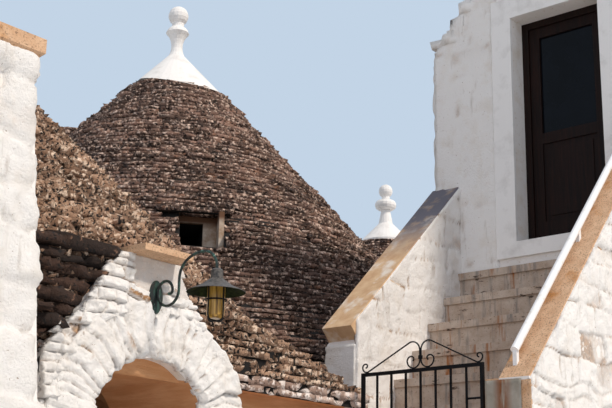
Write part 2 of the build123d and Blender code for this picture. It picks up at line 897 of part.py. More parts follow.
def lamp_cage():
    # Two bent wires that cross under the glass, tied by a ring
    r = globe_radius + cage_gap + cage_wire
    top = shade_top - shade_height * 0.30 - 14
    bend = 30
    low = globe_bottom - cage_gap - cage_wire
    half = cage_wire / 2
    cage = Pos(0, 0, cage_ring) * many_sided([(r - half, 0), (r + half, 0), (r + half, cage_ring_height),
                                              (r - half, cage_ring_height)], cap_sides)
    for turn, drop in ((0, 0), (90, cage_wire)):
        path = FilletPolyline((-r, 0, top), (-r, 0, low - drop), (r, 0, low - drop), (r, 0, top),
                              radius=bend)
        start = Plane(origin=path @ 0, x_dir=(0, 1, 0), z_dir=path % 0)
        cage += Rot(0, 0, turn) * sweep(start * RegularPolygon(cage_wire, wire_sides), path=path)
    return Pos(lamp_x, lamp_y, 0) * cage


def main():
    write("chimney_stack", chimney_stack())
    write("chimney_cap", chimney_cap())
    write("portal", portal())
    write("gable_cap_stone", gable_cap_stone())
    block_walls()
    write("small_roof", small_roof())
    write("main_roof", main_roof())
    main_walls()
    write("window_surround", window_surround())
    write("window_lintel", window_lintel())
    rear_walls()
    write("rear_roof", rear_roof())

    write("main_cap", main_cap())
    write("main_pinnacle", Pos(main_x, main_y, main_cap_seat) * main_pinnacle())
    seat = rear_flat + seat_lift
    write("rear_cap", Pos(rear_x, rear_y, 0) * cap(rear_apex, rear_slope, rear_flat, rear_cap_radius,
                                                   rear_cap_rim, rear_foot, seat))
    write("rear_pinnacle", Pos(rear_x, rear_y, seat) * disc_pinnacle(1))
    seat = small_flat + seat_lift
    write("small_cap", Pos(small_x, small_y, 0) * cap(small_apex, small_slope, small_flat, small_cap_radius,
                                                      rear_cap_rim, rear_foot, seat))
    write("small_pinnacle", Pos(small_x, small_y, seat) * disc_pinnacle(small_pinnacle_size))

    wing_walls()
    write("wing_roof_left", wing_roof(1))
    write("wing_roof_right", wing_roof(-1))
    write("door_sill", box(wing_front, wing_front + wing_wall, door_right, door_left,
                           door_sill - sill_thickness, door_sill))
    write("door_surround", door_surround())
    write("door_frame", door_frame())
    write("door_leaf", door_leaf())
    write("door_glass", door_glass())

    write("stair_body", stair_body())
    write("stair_treads", *stair_treads())
    write("left_parapet", left_parapet())
    write("left_coping", left_coping())
    write("right_parapet", right_parapet())
    write("right_coping", right_coping())
    write("newel_block", newel())
    write("handrail", handrail())

    write("gate_frame", gate_frame())
    write("gate_scrolls", gate_scrolls())
    write("gate_bolt", gate_bolt())
    write("gate_pintles", *gate_pintles())
    write("lamp_bracket", lamp_bracket())
    write("lamp_shade", lamp_shade())
    write("lamp_globe", lamp_globe())
    write("lamp_cage", lamp_cage())


main()
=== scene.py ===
import json
import math
import bmesh
import bpy
import numpy as np
from mathutils import Matrix, Vector


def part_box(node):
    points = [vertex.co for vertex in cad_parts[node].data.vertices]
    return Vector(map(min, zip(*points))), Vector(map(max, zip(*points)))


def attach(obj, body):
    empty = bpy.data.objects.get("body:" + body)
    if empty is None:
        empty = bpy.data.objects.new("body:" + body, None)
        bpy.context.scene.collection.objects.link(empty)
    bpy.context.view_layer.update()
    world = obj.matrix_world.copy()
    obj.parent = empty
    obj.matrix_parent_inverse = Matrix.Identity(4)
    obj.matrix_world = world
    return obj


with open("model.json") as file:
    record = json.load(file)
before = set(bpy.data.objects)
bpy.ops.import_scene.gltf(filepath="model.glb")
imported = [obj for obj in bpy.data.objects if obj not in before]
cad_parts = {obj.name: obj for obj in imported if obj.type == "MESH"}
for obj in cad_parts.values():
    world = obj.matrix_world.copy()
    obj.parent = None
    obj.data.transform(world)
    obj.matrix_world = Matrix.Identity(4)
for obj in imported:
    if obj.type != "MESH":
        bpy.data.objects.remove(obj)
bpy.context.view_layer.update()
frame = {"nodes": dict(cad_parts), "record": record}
nodes = frame["nodes"]

# The stair, the walls behind the stones and the floors: rubble masonry of limestone and lime mortar.
# Its joints are packed with earth and small chips; what shows between the stones is painted near black,
# partly for that earth and partly as painted shade in the gaps.
# Each CAD solid takes a plain finish here, and the stones, plaster and iron come after it.


def colour(hex_value):
    """Linear RGBA of an sRGB hex colour."""
    parts = [int(hex_value[i:i + 2], 16) / 255 for i in (1, 3, 5)]
    return [c / 12.92 if c <= 0.04045 else ((c + 0.055) / 1.055) ** 2.4 for c in parts] + [1.0]


def add(tree, kind, settings=None, **links):
    """One node with its settings and its links; a link is a socket, any other value is a setting."""
    node = tree.nodes.new(kind)
    for name, value in (settings or {}).items():
        setattr(node, name, value)
    for name, value in links.items():
        key = int(name[1:]) if name[0] == "_" else name.replace("_", " ")
        if isinstance(value, bpy.types.NodeSocket):
            tree.links.new(value, node.inputs[key])
        else:
            node.inputs[key].default_value = value
    return node


def blotches(tree, place, size_mm, low, high, detail=4.0, stretch=None, rough=0.6):
    """Noise with a feature size in mm, from 0 below low to 1 above high. Stretch scales its axes."""
    if stretch:
        place = add(tree, "ShaderNodeMapping", Vector=place, Scale=stretch).outputs["Vector"]
    noise = add(tree, "ShaderNodeTexNoise", Vector=place, Scale=1000.0 / size_mm, Detail=detail,
                Roughness=rough)
    return add(tree, "ShaderNodeMapRange", _0=noise.outputs["Fac"], _1=low, _2=high).outputs["Result"]


def coats(tree, place, base, *layers):
    """A base colour and the coats over it, each a colour and then the blotches that it shows in.

    A colour is a hex value, or again a base with its coats. A function in front of the blotches says where
    they may show, and may stand without them.
    """
    mixed = colour(base)
    for shade, *spread in layers:
        where = spread.pop(0)(tree, place) if callable(spread[0]) else None
        share = blotches(tree, place, *spread) if spread else where
        if spread and where is not None:
            share = add(tree, "ShaderNodeMath", {"operation": "MULTIPLY"}, _0=where, _1=share).outputs[0]
        over = colour(shade) if isinstance(shade, str) else coats(tree, place, *shade)
        mixed = add(tree, "ShaderNodeMix", {"data_type": "RGBA"}, _0=share, _6=mixed, _7=over).outputs[2]
    return mixed


def material(name, roughness, base, *layers, grit=None, **sockets):
    """A material of coats, with grit as a relief: a depth in mm, then its blotches."""
    made = bpy.data.materials.new(name)
    made.use_nodes = True
    tree = made.node_tree
    shader = tree.nodes["Principled BSDF"]
    for socket, value in {"Roughness": roughness, **sockets}.items():
        shader.inputs[socket.replace("_", " ")].default_value = value
    place = add(tree, "ShaderNodeTexCoord").outputs["Object"]
    if layers:
        tree.links.new(coats(tree, place, base, *layers), shader.inputs["Base Color"])
    else:
        shader.inputs["Base Color"].default_value = colour(base)
    if grit:
        depth_mm, *spread = grit
        relief = add(tree, "ShaderNodeBump", Strength=1.0, Distance=depth_mm / 1000.0,
                     Height=blotches(tree, place, *spread))
        tree.links.new(relief.outputs["Normal"], shader.inputs["Normal"])
    return made


# Packed earth and painted shade between drystones, and the painted shadow under the window's lintel:
# brown-black, with no shine.
joint_earth_and_painted_shade = material("joint_earth_and_painted_shade", 0.95, "#0b0806", ("#1a130f", 60, 0.4, 0.7))

# Limewash brushed over rubble in many coats: soft white, a little cream where it is thin.
limewash = material("limewash", 0.88, "#f1edea", ("#e3d9cd", 260, 0.52, 0.75), ("#cdbfae", 30, 0.60, 0.78),
                    grit=(2.2, 14, 0.2, 0.8, 6.0))

# Smooth lime plaster on the caps, pinnacles and round the upper door: even white, faintly grey in streaks.
plaster = material("lime_plaster", 0.8, "#f0eeec", ("#d5d2cf", 180, 0.50, 0.80),
                   grit=(1.0, 25, 0.3, 0.8))

# Brown limewash inside the arch and under the eave: dull ochre brown with faint level brush marks.
BRUSHED = (1.0, 1.0, 9.0)
brown_wash = material("brown_limewash", 0.92, "#c98f60", ("#d8a377", 300, 0.40, 0.66, 4.0, BRUSHED),
                      grit=(3.0, 60, 0.3, 0.8, 4.0, BRUSHED))

# Soft yellow sandstone, sawn and weathered: warm tan with rust stains and grey lichen.
sandstone = material("sandstone", 0.9, "#cda481", ("#e0bc9a", 90, 0.35, 0.70), ("#bc8247", 220, 0.56, 0.70),
                     ("#8f7159", 11, 0.53, 0.66, 6.0), grit=(3.0, 9, 0.2, 0.8, 6.0))

# Worn step stone: grey tan, darker in the pores, with cracks, and drips of dirt and rust down the risers.
DRIPPED, CRACKED = (1.0, 1.0, 0.12), (0.25, 0.25, 1.0)
step_stone = material("step_stone", 0.92, "#b5a08e", ("#cbbcae", 120, 0.35, 0.68),
                      ("#8f8780", 45, 0.54, 0.70, 4.0, DRIPPED), ("#a3683a", 70, 0.58, 0.70, 4.0, DRIPPED),
                      ("#4f4036", 40, 0.63, 0.68, 4.0, CRACKED), ("#7d6a5a", 18, 0.60, 0.72),
                      grit=(2.0, 10, 0.2, 0.8, 6.0))

# Door boards: nearly black oil stain, with the grain a shade lighter and a low shine.
GRAIN = (1.0, 1.0, 0.06)
dark_wood = material("stained_wood", 0.6, "#120906", ("#24110a", 22, 0.35, 0.70, 4.0, GRAIN),
                     grit=(0.6, 9, 0.3, 0.7, 4.0, GRAIN), Specular_IOR_Level=0.15)

# Window glass: dark from the unlit room behind it, smooth enough to mirror the sky a little.
dark_glass = material("window_glass", 0.14, "#07090e", ("#0d1017", 300, 0.40, 0.70), Specular_IOR_Level=0.12)

# Lamp glass: pressed amber glass with upright ribs, dusty.
ribs_glass = material("amber_glass", 0.28, "#6d4c17", ("#d2a34a", 11, 0.38, 0.60, 4.0, (1.0, 1.0, 0.05)),
                      Transmission_Weight=0.15)

# Gate iron: black paint, chalked by the weather, with rust at the worn places.
black_iron = material("painted_iron", 0.5, "#080b0f", ("#40251a", 26, 0.62, 0.74), Specular_IOR_Level=0.2)

# Handrail: white gloss paint on iron, yellowed in places.
white_gloss = material("white_gloss_paint", 0.3, "#f4f5f7", ("#d9d4c8", 90, 0.55, 0.75))

# Lamp metal: copper gone black green, with pale verdigris where the rain runs.
RAIN_RUN = (1.0, 1.0, 0.35)
verdigris = material("verdigris_copper", 0.55, "#0f1715", ("#25463c", 24, 0.46, 0.60, 4.0, RAIN_RUN),
                     ("#7fb5a2", 15, 0.62, 0.70, 4.0, RAIN_RUN))

# The shade is enamelled: grey and chalky on top, with dark chips, and a dull olive inside, darkened near
# black as painted shade.
enamel_top = material("shade_enamel_top", 0.6, "#5b5652", ("#2b2a29", 18, 0.45, 0.65))
enamel_inside_and_painted_shade = material("shade_enamel_inside", 0.9, "#0e1406", ("#262e0e", 30, 0.40, 0.70),
                         Specular_IOR_Level=0.1)


def rising(axis, none, full):
    """Where a coat may show: from none at one place along an axis to full at another, in metres."""
    def share(tree, place):
        split = add(tree, "ShaderNodeSeparateXYZ", Vector=place)
        return add(tree, "ShaderNodeMapRange", _0=split.outputs[axis], _1=none, _2=full).outputs["Result"]
    return share


# The window's frame in the roof: tan plaster, darker brown over the opening as painted shade under the
# lintel.
window_plaster_painted_shade = material("window_plaster_painted_shade", 0.92, "#cdbeae", ("#a88d75", 90, 0.40, 0.62),
                         ("#6a4a34", rising("Z", 4.00, 4.07)))

# Coping under the wing's wall: the same sandstone, darkened in a cool grey up the stair toward the wing,
# partly a stain where the roof drips on it and partly painted shade of the wing.
stained_and_shaded_stone = material("stained_sandstone_and_painted_shade", 0.92, "#c9a27c", ("#dcbd97", 90, 0.35, 0.70),
                         ("#e8ddd0", 200, 0.52, 0.66),
                         ("#6a6770", rising("X", 0.15, 0.60), 190, 0.22, 0.50, 7.0),
                         grit=(1.6, 9, 0.2, 0.8, 6.0))

FINISHES = {
    "limewash": limewash, "drystone": joint_earth_and_painted_shade, "sandstone": sandstone, "white_plaster": plaster,
    "dark_wood": dark_wood, "window_glass": dark_glass, "amber_glass": ribs_glass, "black_iron": black_iron,
    "white_paint": white_gloss, "green_metal": verdigris,
}
# The window's lintel takes that brown-black finish as painted shadow under its slabs.
SPECIAL = {
    "stair_treads": step_stone, "stair_body": step_stone, "door_sill": plaster, "wing_floor": step_stone,
    "front_wall_right": brown_wash, "portal": brown_wash, "lamp_shade": enamel_top,
    "window_surround": window_plaster_painted_shade, "window_lintel": joint_earth_and_painted_shade, "left_coping": stained_and_shaded_stone,
}
for entry in frame["record"]["subparts"]:
    name = entry["node"]
    nodes[name].data.materials.clear()
    nodes[name].data.materials.append(SPECIAL.get(name) or FINISHES[entry["material_slot"]])
ARCH_X, PASSAGE_HALF, PORTAL_FACE = -2.965, 0.46, -0.05


def turned_down(face):
    return face.normal.z < -0.05


def off_passage(face):
    """Faces outside the passage's two sides, its curved top and what closes it behind."""
    return abs(face.center.x - ARCH_X) >= PASSAGE_HALF or face.center.y <= PORTAL_FACE


for name, second, chosen in (("small_roof", brown_wash, turned_down),
                             ("lamp_shade", enamel_inside_and_painted_shade, turned_down),
                             ("portal", limewash, off_passage)):
    nodes[name].data.materials.append(second)
    for face in nodes[name].data.polygons:
        face.material_index = 1 if chosen(face) else 0

# The main cone: split limestone slabs laid dry in level courses, each course set a hand's step inward.
# A slab is 30 to 50 mm thick, 70 to 360 mm long and about 160 mm deep, with broken ends.
# The slabs are trimmed with a hammer and laid without mortar over the corbelled shell.
rng = np.random.default_rng(41)
SLAB_DEPTH, SLAB_PROUD, COURSE = 0.16, 0.020, (0.046, 0.062)
TURN_SPREAD, LEAN_SPREAD, EDGE_SPREAD = 0.035, 0.007, 0.015


def broken_slabs(count, seed, cuts=1, jitter=(0.045, 0.10, 0.06), round_off=0.0):
    """Unit blocks with broken faces, cut across their length: a list of (corners, faces) from bmesh."""
    shapes = []
    chance = np.random.default_rng(seed)
    for _ in range(count):
        bm = bmesh.new()
        bmesh.ops.create_cube(bm, size=1.0)
        if round_off:
            bmesh.ops.bevel(bm, geom=bm.edges[:], offset=round_off, affect="EDGES", segments=1, profile=0.5,
                            material=-1)
        lengthwise = [edge for edge in bm.edges if abs(edge.verts[0].co.x - edge.verts[1].co.x) > 0.6]
        bmesh.ops.subdivide_edges(bm, edges=lengthwise, cuts=cuts, use_grid_fill=False)
        for corner in bm.verts:
            corner.co += Vector(chance.normal(0, jitter, 3))
        bmesh.ops.triangulate(bm, faces=bm.faces[:])
        bm.verts.index_update()
        points = np.array([corner.co[:] for corner in bm.verts])
        faces = np.array([[corner.index for corner in face.verts] for face in bm.faces])
        shapes.append((points, faces))
        bm.free()
    return shapes


def piece_of(name, mesh, finish):
    """An object of one mesh or bmesh and one finish, in the scene."""
    if isinstance(mesh, bmesh.types.BMesh):
        bm, mesh = mesh, bpy.data.meshes.new(name)
        bm.to_mesh(mesh)
        bm.free()
    mesh.materials.append(finish)
    piece = bpy.data.objects.new(name, mesh)
    bpy.context.scene.collection.objects.link(piece)
    return piece


def join_blocks(name, shapes, laid, finish, trim=None):
    """One mesh of many blocks, each laid as a matrix and a tint from 0 to 1 for its own shade."""
    points, faces, shades, base = [], [], [], 0
    for number, (matrix, tint) in enumerate(laid):
        corners, sides = shapes[number % len(shapes)]
        points.append(corners @ matrix[:3, :3].T + matrix[:3, 3])
        faces.append(sides + base)
        shades.append(np.full(len(corners), tint))
        base += len(corners)
    points, faces, shades = np.concatenate(points), np.concatenate(faces), np.concatenate(shades)
    if trim:
        points = trim(points)
    mesh = bpy.data.meshes.new(name)
    mesh.vertices.add(len(points))
    mesh.vertices.foreach_set("co", points.astype(np.float32).ravel())
    mesh.loops.add(faces.size)
    mesh.loops.foreach_set("vertex_index", faces.astype(np.int32).ravel())
    mesh.polygons.add(len(faces))
    mesh.polygons.foreach_set("loop_start", np.arange(0, faces.size, 3, dtype=np.int32))
    mesh.update(calc_edges=True)
    mesh.attributes.new("tint", "FLOAT", "POINT").data.foreach_set("value", shades.astype(np.float32))
    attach(piece_of(name, mesh, finish), "house")


def block_matrix(centre, along, out, length, depth, height, lean=0.0):
    """Places a unit block: its X along the course, its Y outwards, its Z up, leaning a little."""
    along, out = np.array(along, float), np.array(out, float)
    up = np.array((0.0, 0.0, 1.0))
    rise = math.sin(lean)
    along = along + up * rise
    matrix = np.eye(4)
    matrix[:3, 0] = along * length
    matrix[:3, 1] = out * depth
    matrix[:3, 2] = (up - along * rise) * height
    matrix[:3, 3] = centre
    return matrix


def lay_course(outline, low, height, lengths, depth, proud, skip, laid, fill=0.69):
    """Lays one course of slabs round an outline of (x, y, out x, out y) points, and skips some places.

    fill is the share of a course's height that its slabs take up on average; the rest is open joint.
    """
    steps = np.linalg.norm(np.diff(outline[:, :2], axis=0), axis=1)
    distance = np.r_[0, np.cumsum(steps)]
    at = rng.uniform(0, lengths[0])
    while at < distance[-1]:
        length = lengths[0] + (lengths[1] - lengths[0]) * rng.beta(1.2, 2.6)
        middle = min(at + length / 2, max(distance[-1] - length / 2, 0))
        x, y, ox, oy = [np.interp(middle, distance, outline[:, column]) for column in range(4)]
        size = math.hypot(ox, oy)
        ox, oy = ox / size, oy / size
        at += length
        if skip(x, y, low + height / 2):
            continue
        turn = rng.normal(0, TURN_SPREAD)
        out = (ox * math.cos(turn) - oy * math.sin(turn), ox * math.sin(turn) + oy * math.cos(turn), 0)
        along = (-out[1], out[0], 0)
        edge = min(max(proud + rng.normal(0, EDGE_SPREAD), 0.008), proud + 0.034)
        thick = height * rng.uniform(fill - 0.12, fill + 0.12)
        centre = (x + ox * (edge - depth / 2), y + oy * (edge - depth / 2), low + height / 2)
        lean = rng.normal(0, LEAN_SPREAD)
        matrix = block_matrix(centre, along, out, length * 1.02, depth, thick, lean)
        laid.append((matrix, rng.beta(1.8, 1.8)))


def circle_outline(centre, radius):
    angles = np.linspace(0, 2 * math.pi, 241)
    out = np.stack([np.cos(angles), np.sin(angles)], axis=1)
    return np.concatenate([np.array(centre) + out * radius, out], axis=1)


def axis_of(pinnacle):
    low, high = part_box(pinnacle)
    return (low.x + high.x) / 2, (low.y + high.y) / 2


def own_shade(tree, place):
    """The tint that each block, or each place of a skin, carries in its mesh."""
    return add(tree, "ShaderNodeAttribute", {"attribute_name": "tint"}).outputs["Fac"]


def roof_finish(name, dark, light, shaded, pale, pits_mm, pits):
    """Weathered limestone: each slab its own shade, old and pale lichen, and black pores of a size."""
    return material(name, 0.93, dark, (light, own_shade), (shaded, 700, 0.48, 0.62),
                    ("#946850", 110, 0.60, 0.74), (pale, 40, 0.52, 0.62, 6.0),
                    ("#160d08", pits_mm, pits, pits + 0.05, 6.0), grit=(9.0, 14, 0.25, 0.75, 6.0))


# The tall roofs: grey brown to pinkish tan, darker in broad patches where the lichen is old.
roof_stone = roof_finish("split_limestone", "#35261e", "#a78575", "#4d3930", "#e0c5b4", 26, 0.55)
EAVE_DEPTH = 0.15
slab_shapes = broken_slabs(40, 7)
main_axis = axis_of("main_pinnacle")
main_low, main_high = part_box("main_roof")
main_eave_radius = (main_high.x - main_low.x) / 2
MAIN_SLOPE, MAIN_KNEE, MAIN_KNEE_SLOPE = 1.105, 0.64, 0.909
main_knee_z = main_low.z + EAVE_DEPTH + MAIN_SLOPE * (main_eave_radius - MAIN_KNEE)


def main_radius(z):
    if z > main_knee_z:
        return MAIN_KNEE - (z - main_knee_z) / MAIN_KNEE_SLOPE
    return min(main_eave_radius, MAIN_KNEE + (main_knee_z - z) / MAIN_SLOPE)


window_low, window_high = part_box("window_surround")
lintel_low, lintel_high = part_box("window_lintel")
WINDOW_TURN = math.radians(-39)
WINDOW_LEFT, WINDOW_RIGHT, LINTEL_OVERLAP, LINTEL_SHARE = -0.06, 0.37, 0.22, 0.82


def from_window(x, y, z):
    """A place across the window, out from the cone's axis, and up the window from 0 to 1."""
    dx, dy = x - main_axis[0], y - main_axis[1]
    side = dx * math.cos(WINDOW_TURN) + dy * math.sin(WINDOW_TURN)
    out = dx * math.sin(WINDOW_TURN) - dy * math.cos(WINDOW_TURN)
    return side, out, (z - window_low.z) / (window_high.z - window_low.z)


def at_window(x, y, z):
    """True in front of the small window, where the slabs stop; beside the lintel the gap is wider."""
    side, out, share = from_window(x, y, z)
    left = WINDOW_LEFT - (LINTEL_OVERLAP if share > LINTEL_SHARE else 0)
    return left < side < WINDOW_RIGHT and out > 0 and 0.0 < share < 1.0


def clear_of_window(points):
    """Slabs that reach into the window's gap are cut off at its sides."""
    side, out, share = from_window(points[:, 0], points[:, 1], points[:, 2])
    within = (side > WINDOW_LEFT) & (side < WINDOW_RIGHT) & (out > 0) & (share > 0) & (share < 1)
    edge = np.where(side < (WINDOW_LEFT + WINDOW_RIGHT) / 2, WINDOW_LEFT, WINDOW_RIGHT)
    shift = np.where(within, edge - side, 0)
    points[:, 0] += shift * math.cos(WINDOW_TURN)
    points[:, 1] += shift * math.sin(WINDOW_TURN)
    return points


CAP_MIDDLE, CAP_TILT, CAP_TURN = 6.40, math.radians(15.8), math.radians(-105)


def under_cap(x, y, z):
    """Height of a place above the slanting lower edge of the main cap."""
    reach = (x - main_axis[0]) * math.cos(CAP_TURN) + (y - main_axis[1]) * math.sin(CAP_TURN)
    return z - (CAP_MIDDLE - reach * math.tan(CAP_TILT))


def cone_courses(name, axis, radius_at, low, high, skip, trim=None):
    """Courses round an axis from a low height to a high one."""
    laid, z = [], low
    while z < high:
        height = rng.uniform(*COURSE)
        outline = circle_outline(axis, radius_at(z + height / 2))
        lay_course(outline, z, height, (0.07, 0.36), SLAB_DEPTH, SLAB_PROUD, skip, laid)
        z += height
    join_blocks(name, slab_shapes, laid, roof_stone, trim)


def off_main(x, y, z):
    return at_window(x, y, z) or under_cap(x, y, z) > 0


cone_courses("main_roof_slabs", main_axis, main_radius, main_low.z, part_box("main_cap")[1].z, off_main,
             clear_of_window)

# The window's lintel: one long slab, with shorter broken ones laid along its front edge.
LINTEL_LEFT, LINTEL_RIGHT, LINTEL_DEPTH, LINTEL_THICK = -0.28, 0.38, 0.10, 0.045
side_way = np.array((math.cos(WINDOW_TURN), math.sin(WINDOW_TURN)))
out_way = np.array((math.sin(WINDOW_TURN), -math.cos(WINDOW_TURN)))
front = main_radius(window_high.z) + 0.03
laid, at = [], LINTEL_LEFT
while at < LINTEL_RIGHT:
    length = rng.uniform(0.12, 0.26)
    x, y = np.array(main_axis) + side_way * (at + length / 2) + out_way * front
    centre = (x, y, (lintel_low.z + lintel_high.z) / 2)
    matrix = block_matrix(centre, (*side_way, 0), (*out_way, 0), length, LINTEL_DEPTH, LINTEL_THICK)
    laid.append((matrix, rng.uniform(0, 0.35)))
    at += length
join_blocks("lintel_slabs", slab_shapes, laid, roof_stone)

# The shoulder on the left of the main cone: a lower hump of the same slabs with a level top.
# It is laid with the cone, so only what stands out of the cone gets stones of its own.
SHOULDER_TURN, SHOULDER_REACH, SHOULDER_RADIUS = math.radians(130.6), 1.45, 0.42
SHOULDER_FOOT, SHOULDER_TOP, SHOULDER_SLOPE, TOP_THICK = 3.2, 5.70, 1.63, 0.045


def shoulder_outline(radius):
    """Two level sides joined by a half circle round the outer end."""
    c, s = math.cos(SHOULDER_TURN), math.sin(SHOULDER_TURN)
    rows = [(reach, -radius, 0, -1) for reach in np.linspace(0, SHOULDER_REACH, 30)]
    for angle in np.linspace(-math.pi / 2, math.pi / 2, 60):
        rows.append((SHOULDER_REACH + radius * math.cos(angle), radius * math.sin(angle),
                     math.cos(angle), math.sin(angle)))
    rows = np.array(rows + [(reach, radius, 0, 1) for reach in np.linspace(SHOULDER_REACH, 0, 30)])
    turn = np.array([[c, s], [-s, c]])
    return np.concatenate([rows[:, :2] @ turn + main_axis, rows[:, 2:] @ turn], axis=1)


def inside_main(x, y, z, cover=0.05):
    """True where the main cone hides a slab, by more than the cover."""
    return math.hypot(x - main_axis[0], y - main_axis[1]) < main_radius(z) - cover


def off_shoulder(x, y, z):
    return inside_main(x, y, z, 0.02)


laid, z = [], SHOULDER_FOOT
while z < SHOULDER_TOP:
    height = rng.uniform(*COURSE)
    outline = shoulder_outline(SHOULDER_RADIUS + (SHOULDER_TOP - z) / SHOULDER_SLOPE)
    lay_course(outline, z, height, (0.08, 0.36), SLAB_DEPTH, SLAB_PROUD, off_shoulder, laid)
    z += height
for inset in (0.10, 0.24, 0.38):
    outline = shoulder_outline(SHOULDER_RADIUS - inset)
    lay_course(outline, SHOULDER_TOP - 0.02, TOP_THICK, (0.16, 0.44), 0.20, 0.06, off_shoulder, laid)
join_blocks("shoulder_slabs", slab_shapes, laid, roof_stone)

# The rear cone, laid the same way, runs into the main one and stops at it.
rear_axis = axis_of("rear_pinnacle")
rear_low, rear_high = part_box("rear_roof")
rear_eave_radius = rear_high.x - rear_axis[0]
REAR_SLOPE = 1.09
rear_apex = rear_low.z + EAVE_DEPTH + REAR_SLOPE * rear_eave_radius


def rear_radius(z):
    return min(rear_eave_radius, (rear_apex - z) / REAR_SLOPE)


cone_courses("rear_roof_slabs", rear_axis, rear_radius, rear_low.z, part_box("rear_cap")[0].z, inside_main)

# The entrance roof: the same slabs on a square base, cut off straight over the walls.
# Its corners sweep out flatter, so the rain is thrown past them.
small_axis = axis_of("small_pinnacle")
SMALL_APEX, SMALL_SLOPE, SKIRT_SLOPE, SMALL_EDGE = 4.67, 0.976, 0.45, 0.04
small_low, small_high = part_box("small_roof")
small_half = small_high.y - small_axis[1]
small_corner = math.sqrt(2) * small_half + 0.06
stack_low, stack_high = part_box("chimney_stack")


def small_radius(z):
    steep = (SMALL_APEX - z) / SMALL_SLOPE
    flat = small_corner - max(z - small_low.z - SMALL_EDGE, 0) / SKIRT_SLOPE
    return max(min(steep, small_corner), flat) if flat > steep else steep


def square_outline(radius):
    """A circle cut by the square of the walls, as points with their outward directions."""
    rows = []
    for angle in np.linspace(0, 2 * math.pi, 481):
        c, s = math.cos(angle), math.sin(angle)
        reach, out = small_half / max(abs(c), abs(s)), (c, s)
        if radius >= reach:
            out = (math.copysign(1, c), 0) if abs(c) > abs(s) else (0, math.copysign(1, s))
        reach = min(radius, reach)
        rows.append((small_axis[0] + reach * c, small_axis[1] + reach * s, *out))
    return np.array(rows)


CLEAR_HALF, CLEAR_DEEP, CLEAR_HIGH = 0.60, 0.75, 2.03


def off_small(x, y, z):
    """True inside the main cone, inside the chimney's stack and in the passage under the arch."""
    in_stack = stack_low.x < x < stack_high.x - 0.2 and y < stack_high.y
    in_passage = abs(x - ARCH_X) < CLEAR_HALF and y < CLEAR_DEEP and z < CLEAR_HIGH
    return inside_main(x, y, z) or in_stack or in_passage


near_shapes = broken_slabs(40, 8, cuts=4, jitter=(0.022, 0.10, 0.09))
# The entrance roof's slabs take a lighter copy of the roof stone, as painted sunlight.
near_stone_painted_sunlit = roof_finish("limestone_painted_sunlit", "#4f3828", "#cba488", "#795a45", "#efd5be", 22, 0.53)
EAVE_THICK = 0.05
roof_laid, eave_laid, z = [], [], small_low.z
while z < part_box("small_cap")[0].z:
    height = rng.uniform(0.042, 0.058)
    outline = square_outline(small_radius(z + 0.1 * height))
    lengths, laid = ((0.14, 0.50), eave_laid) if z < small_low.z + EAVE_THICK else ((0.08, 0.34), roof_laid)
    lay_course(outline, z, height, lengths, 0.17, 0.018, off_small, laid, fill=0.84)
    z += height

SWING_LEFT, SWING_RIGHT, SWING_TOP, DRESSED_FACE = -2.25, -0.85, 2.45, -0.060


def clear_of_gate(points):
    """Slabs over the opened gate are dressed back, so it swings past them."""
    beside = (points[:, 0] > SWING_LEFT) & (points[:, 0] < SWING_RIGHT) & (points[:, 2] < SWING_TOP)
    points[beside, 1] = np.maximum(points[beside, 1], DRESSED_FACE)
    return points


join_blocks("small_roof_slabs", near_shapes, roof_laid, near_stone_painted_sunlit, clear_of_gate)

# The eave course: wider, flatter slabs with limewash splashed on them, pinkish where it has worn.
eave_stone = material("splashed_limestone", 0.93, "#8f7466", ("#cfb6a8", own_shade),
                      ("#efe3dc", 60, 0.48, 0.58), ("#3b2a21", 24, 0.56, 0.64),
                      grit=(5.0, 14, 0.25, 0.75, 6.0))
join_blocks("eave_slabs", near_shapes, eave_laid, eave_stone, clear_of_gate)

# Left of the portal the front rises as a straight drystone face: thick courses painted near black as painted
# shade.
# Between them a thin line of each stone's upper edge catches the light.
dark_stone_painted_shade = material("limestone_painted_shade", 0.95, "#1d120c", ("#4a3226", own_shade),
                      ("#8d6a56", 50, 0.60, 0.68, 6.0), ("#0f0906", 24, 0.56, 0.64, 6.0),
                      grit=(9.0, 22, 0.25, 0.75, 7.0))
FACE_LEFT, FACE_TOP, FACE_OUT, FACE_RIGHT = -4.02, 2.56, 0.055, -3.16
portal_low, portal_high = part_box("portal")
laid, z = [], small_low.z


def nowhere(x, y, z):
    return False


while z < FACE_TOP:
    height = rng.uniform(0.066, 0.088)
    last = portal_low.x + (FACE_RIGHT - portal_low.x) * (z - small_low.z) / (portal_high.z - small_low.z)
    line = np.array([(x, small_low.y, 0.0, -1.0) for x in np.linspace(FACE_LEFT, last, 30)])
    lay_course(line, z, height, (0.22, 0.62), 0.30, FACE_OUT, nowhere, laid)
    z += height * 0.97
join_blocks("front_dark_courses", near_shapes, laid, dark_stone_painted_shade)

# Limewashed rubble: every visible wall is laid of rough stones and brushed with limewash each spring.
# The coats round the stones off and fill the joints, and bare tan stone shows where they have fallen away.
# Each skin is a closed sheet, raised over its stones, with its edges let into the solid wall behind it.


def lattice_noise(s, t, size, chance):
    """Smooth noise from -1 to 1 over places in metres, with features of the given size."""
    a, b = (s - s.min()) / size, (t - t.min()) / size
    values = chance.uniform(-1, 1, (int(b.max()) + 3, int(a.max()) + 3))
    i, j = a.astype(int), b.astype(int)
    a, b = a - i, b - j
    a, b = a * a * (3 - 2 * a), b * b * (3 - 2 * b)
    low = values[j, i] * (1 - a) + values[j, i + 1] * a
    high = values[j + 1, i] * (1 - a) + values[j + 1, i + 1] * a
    return low * (1 - b) + high * b


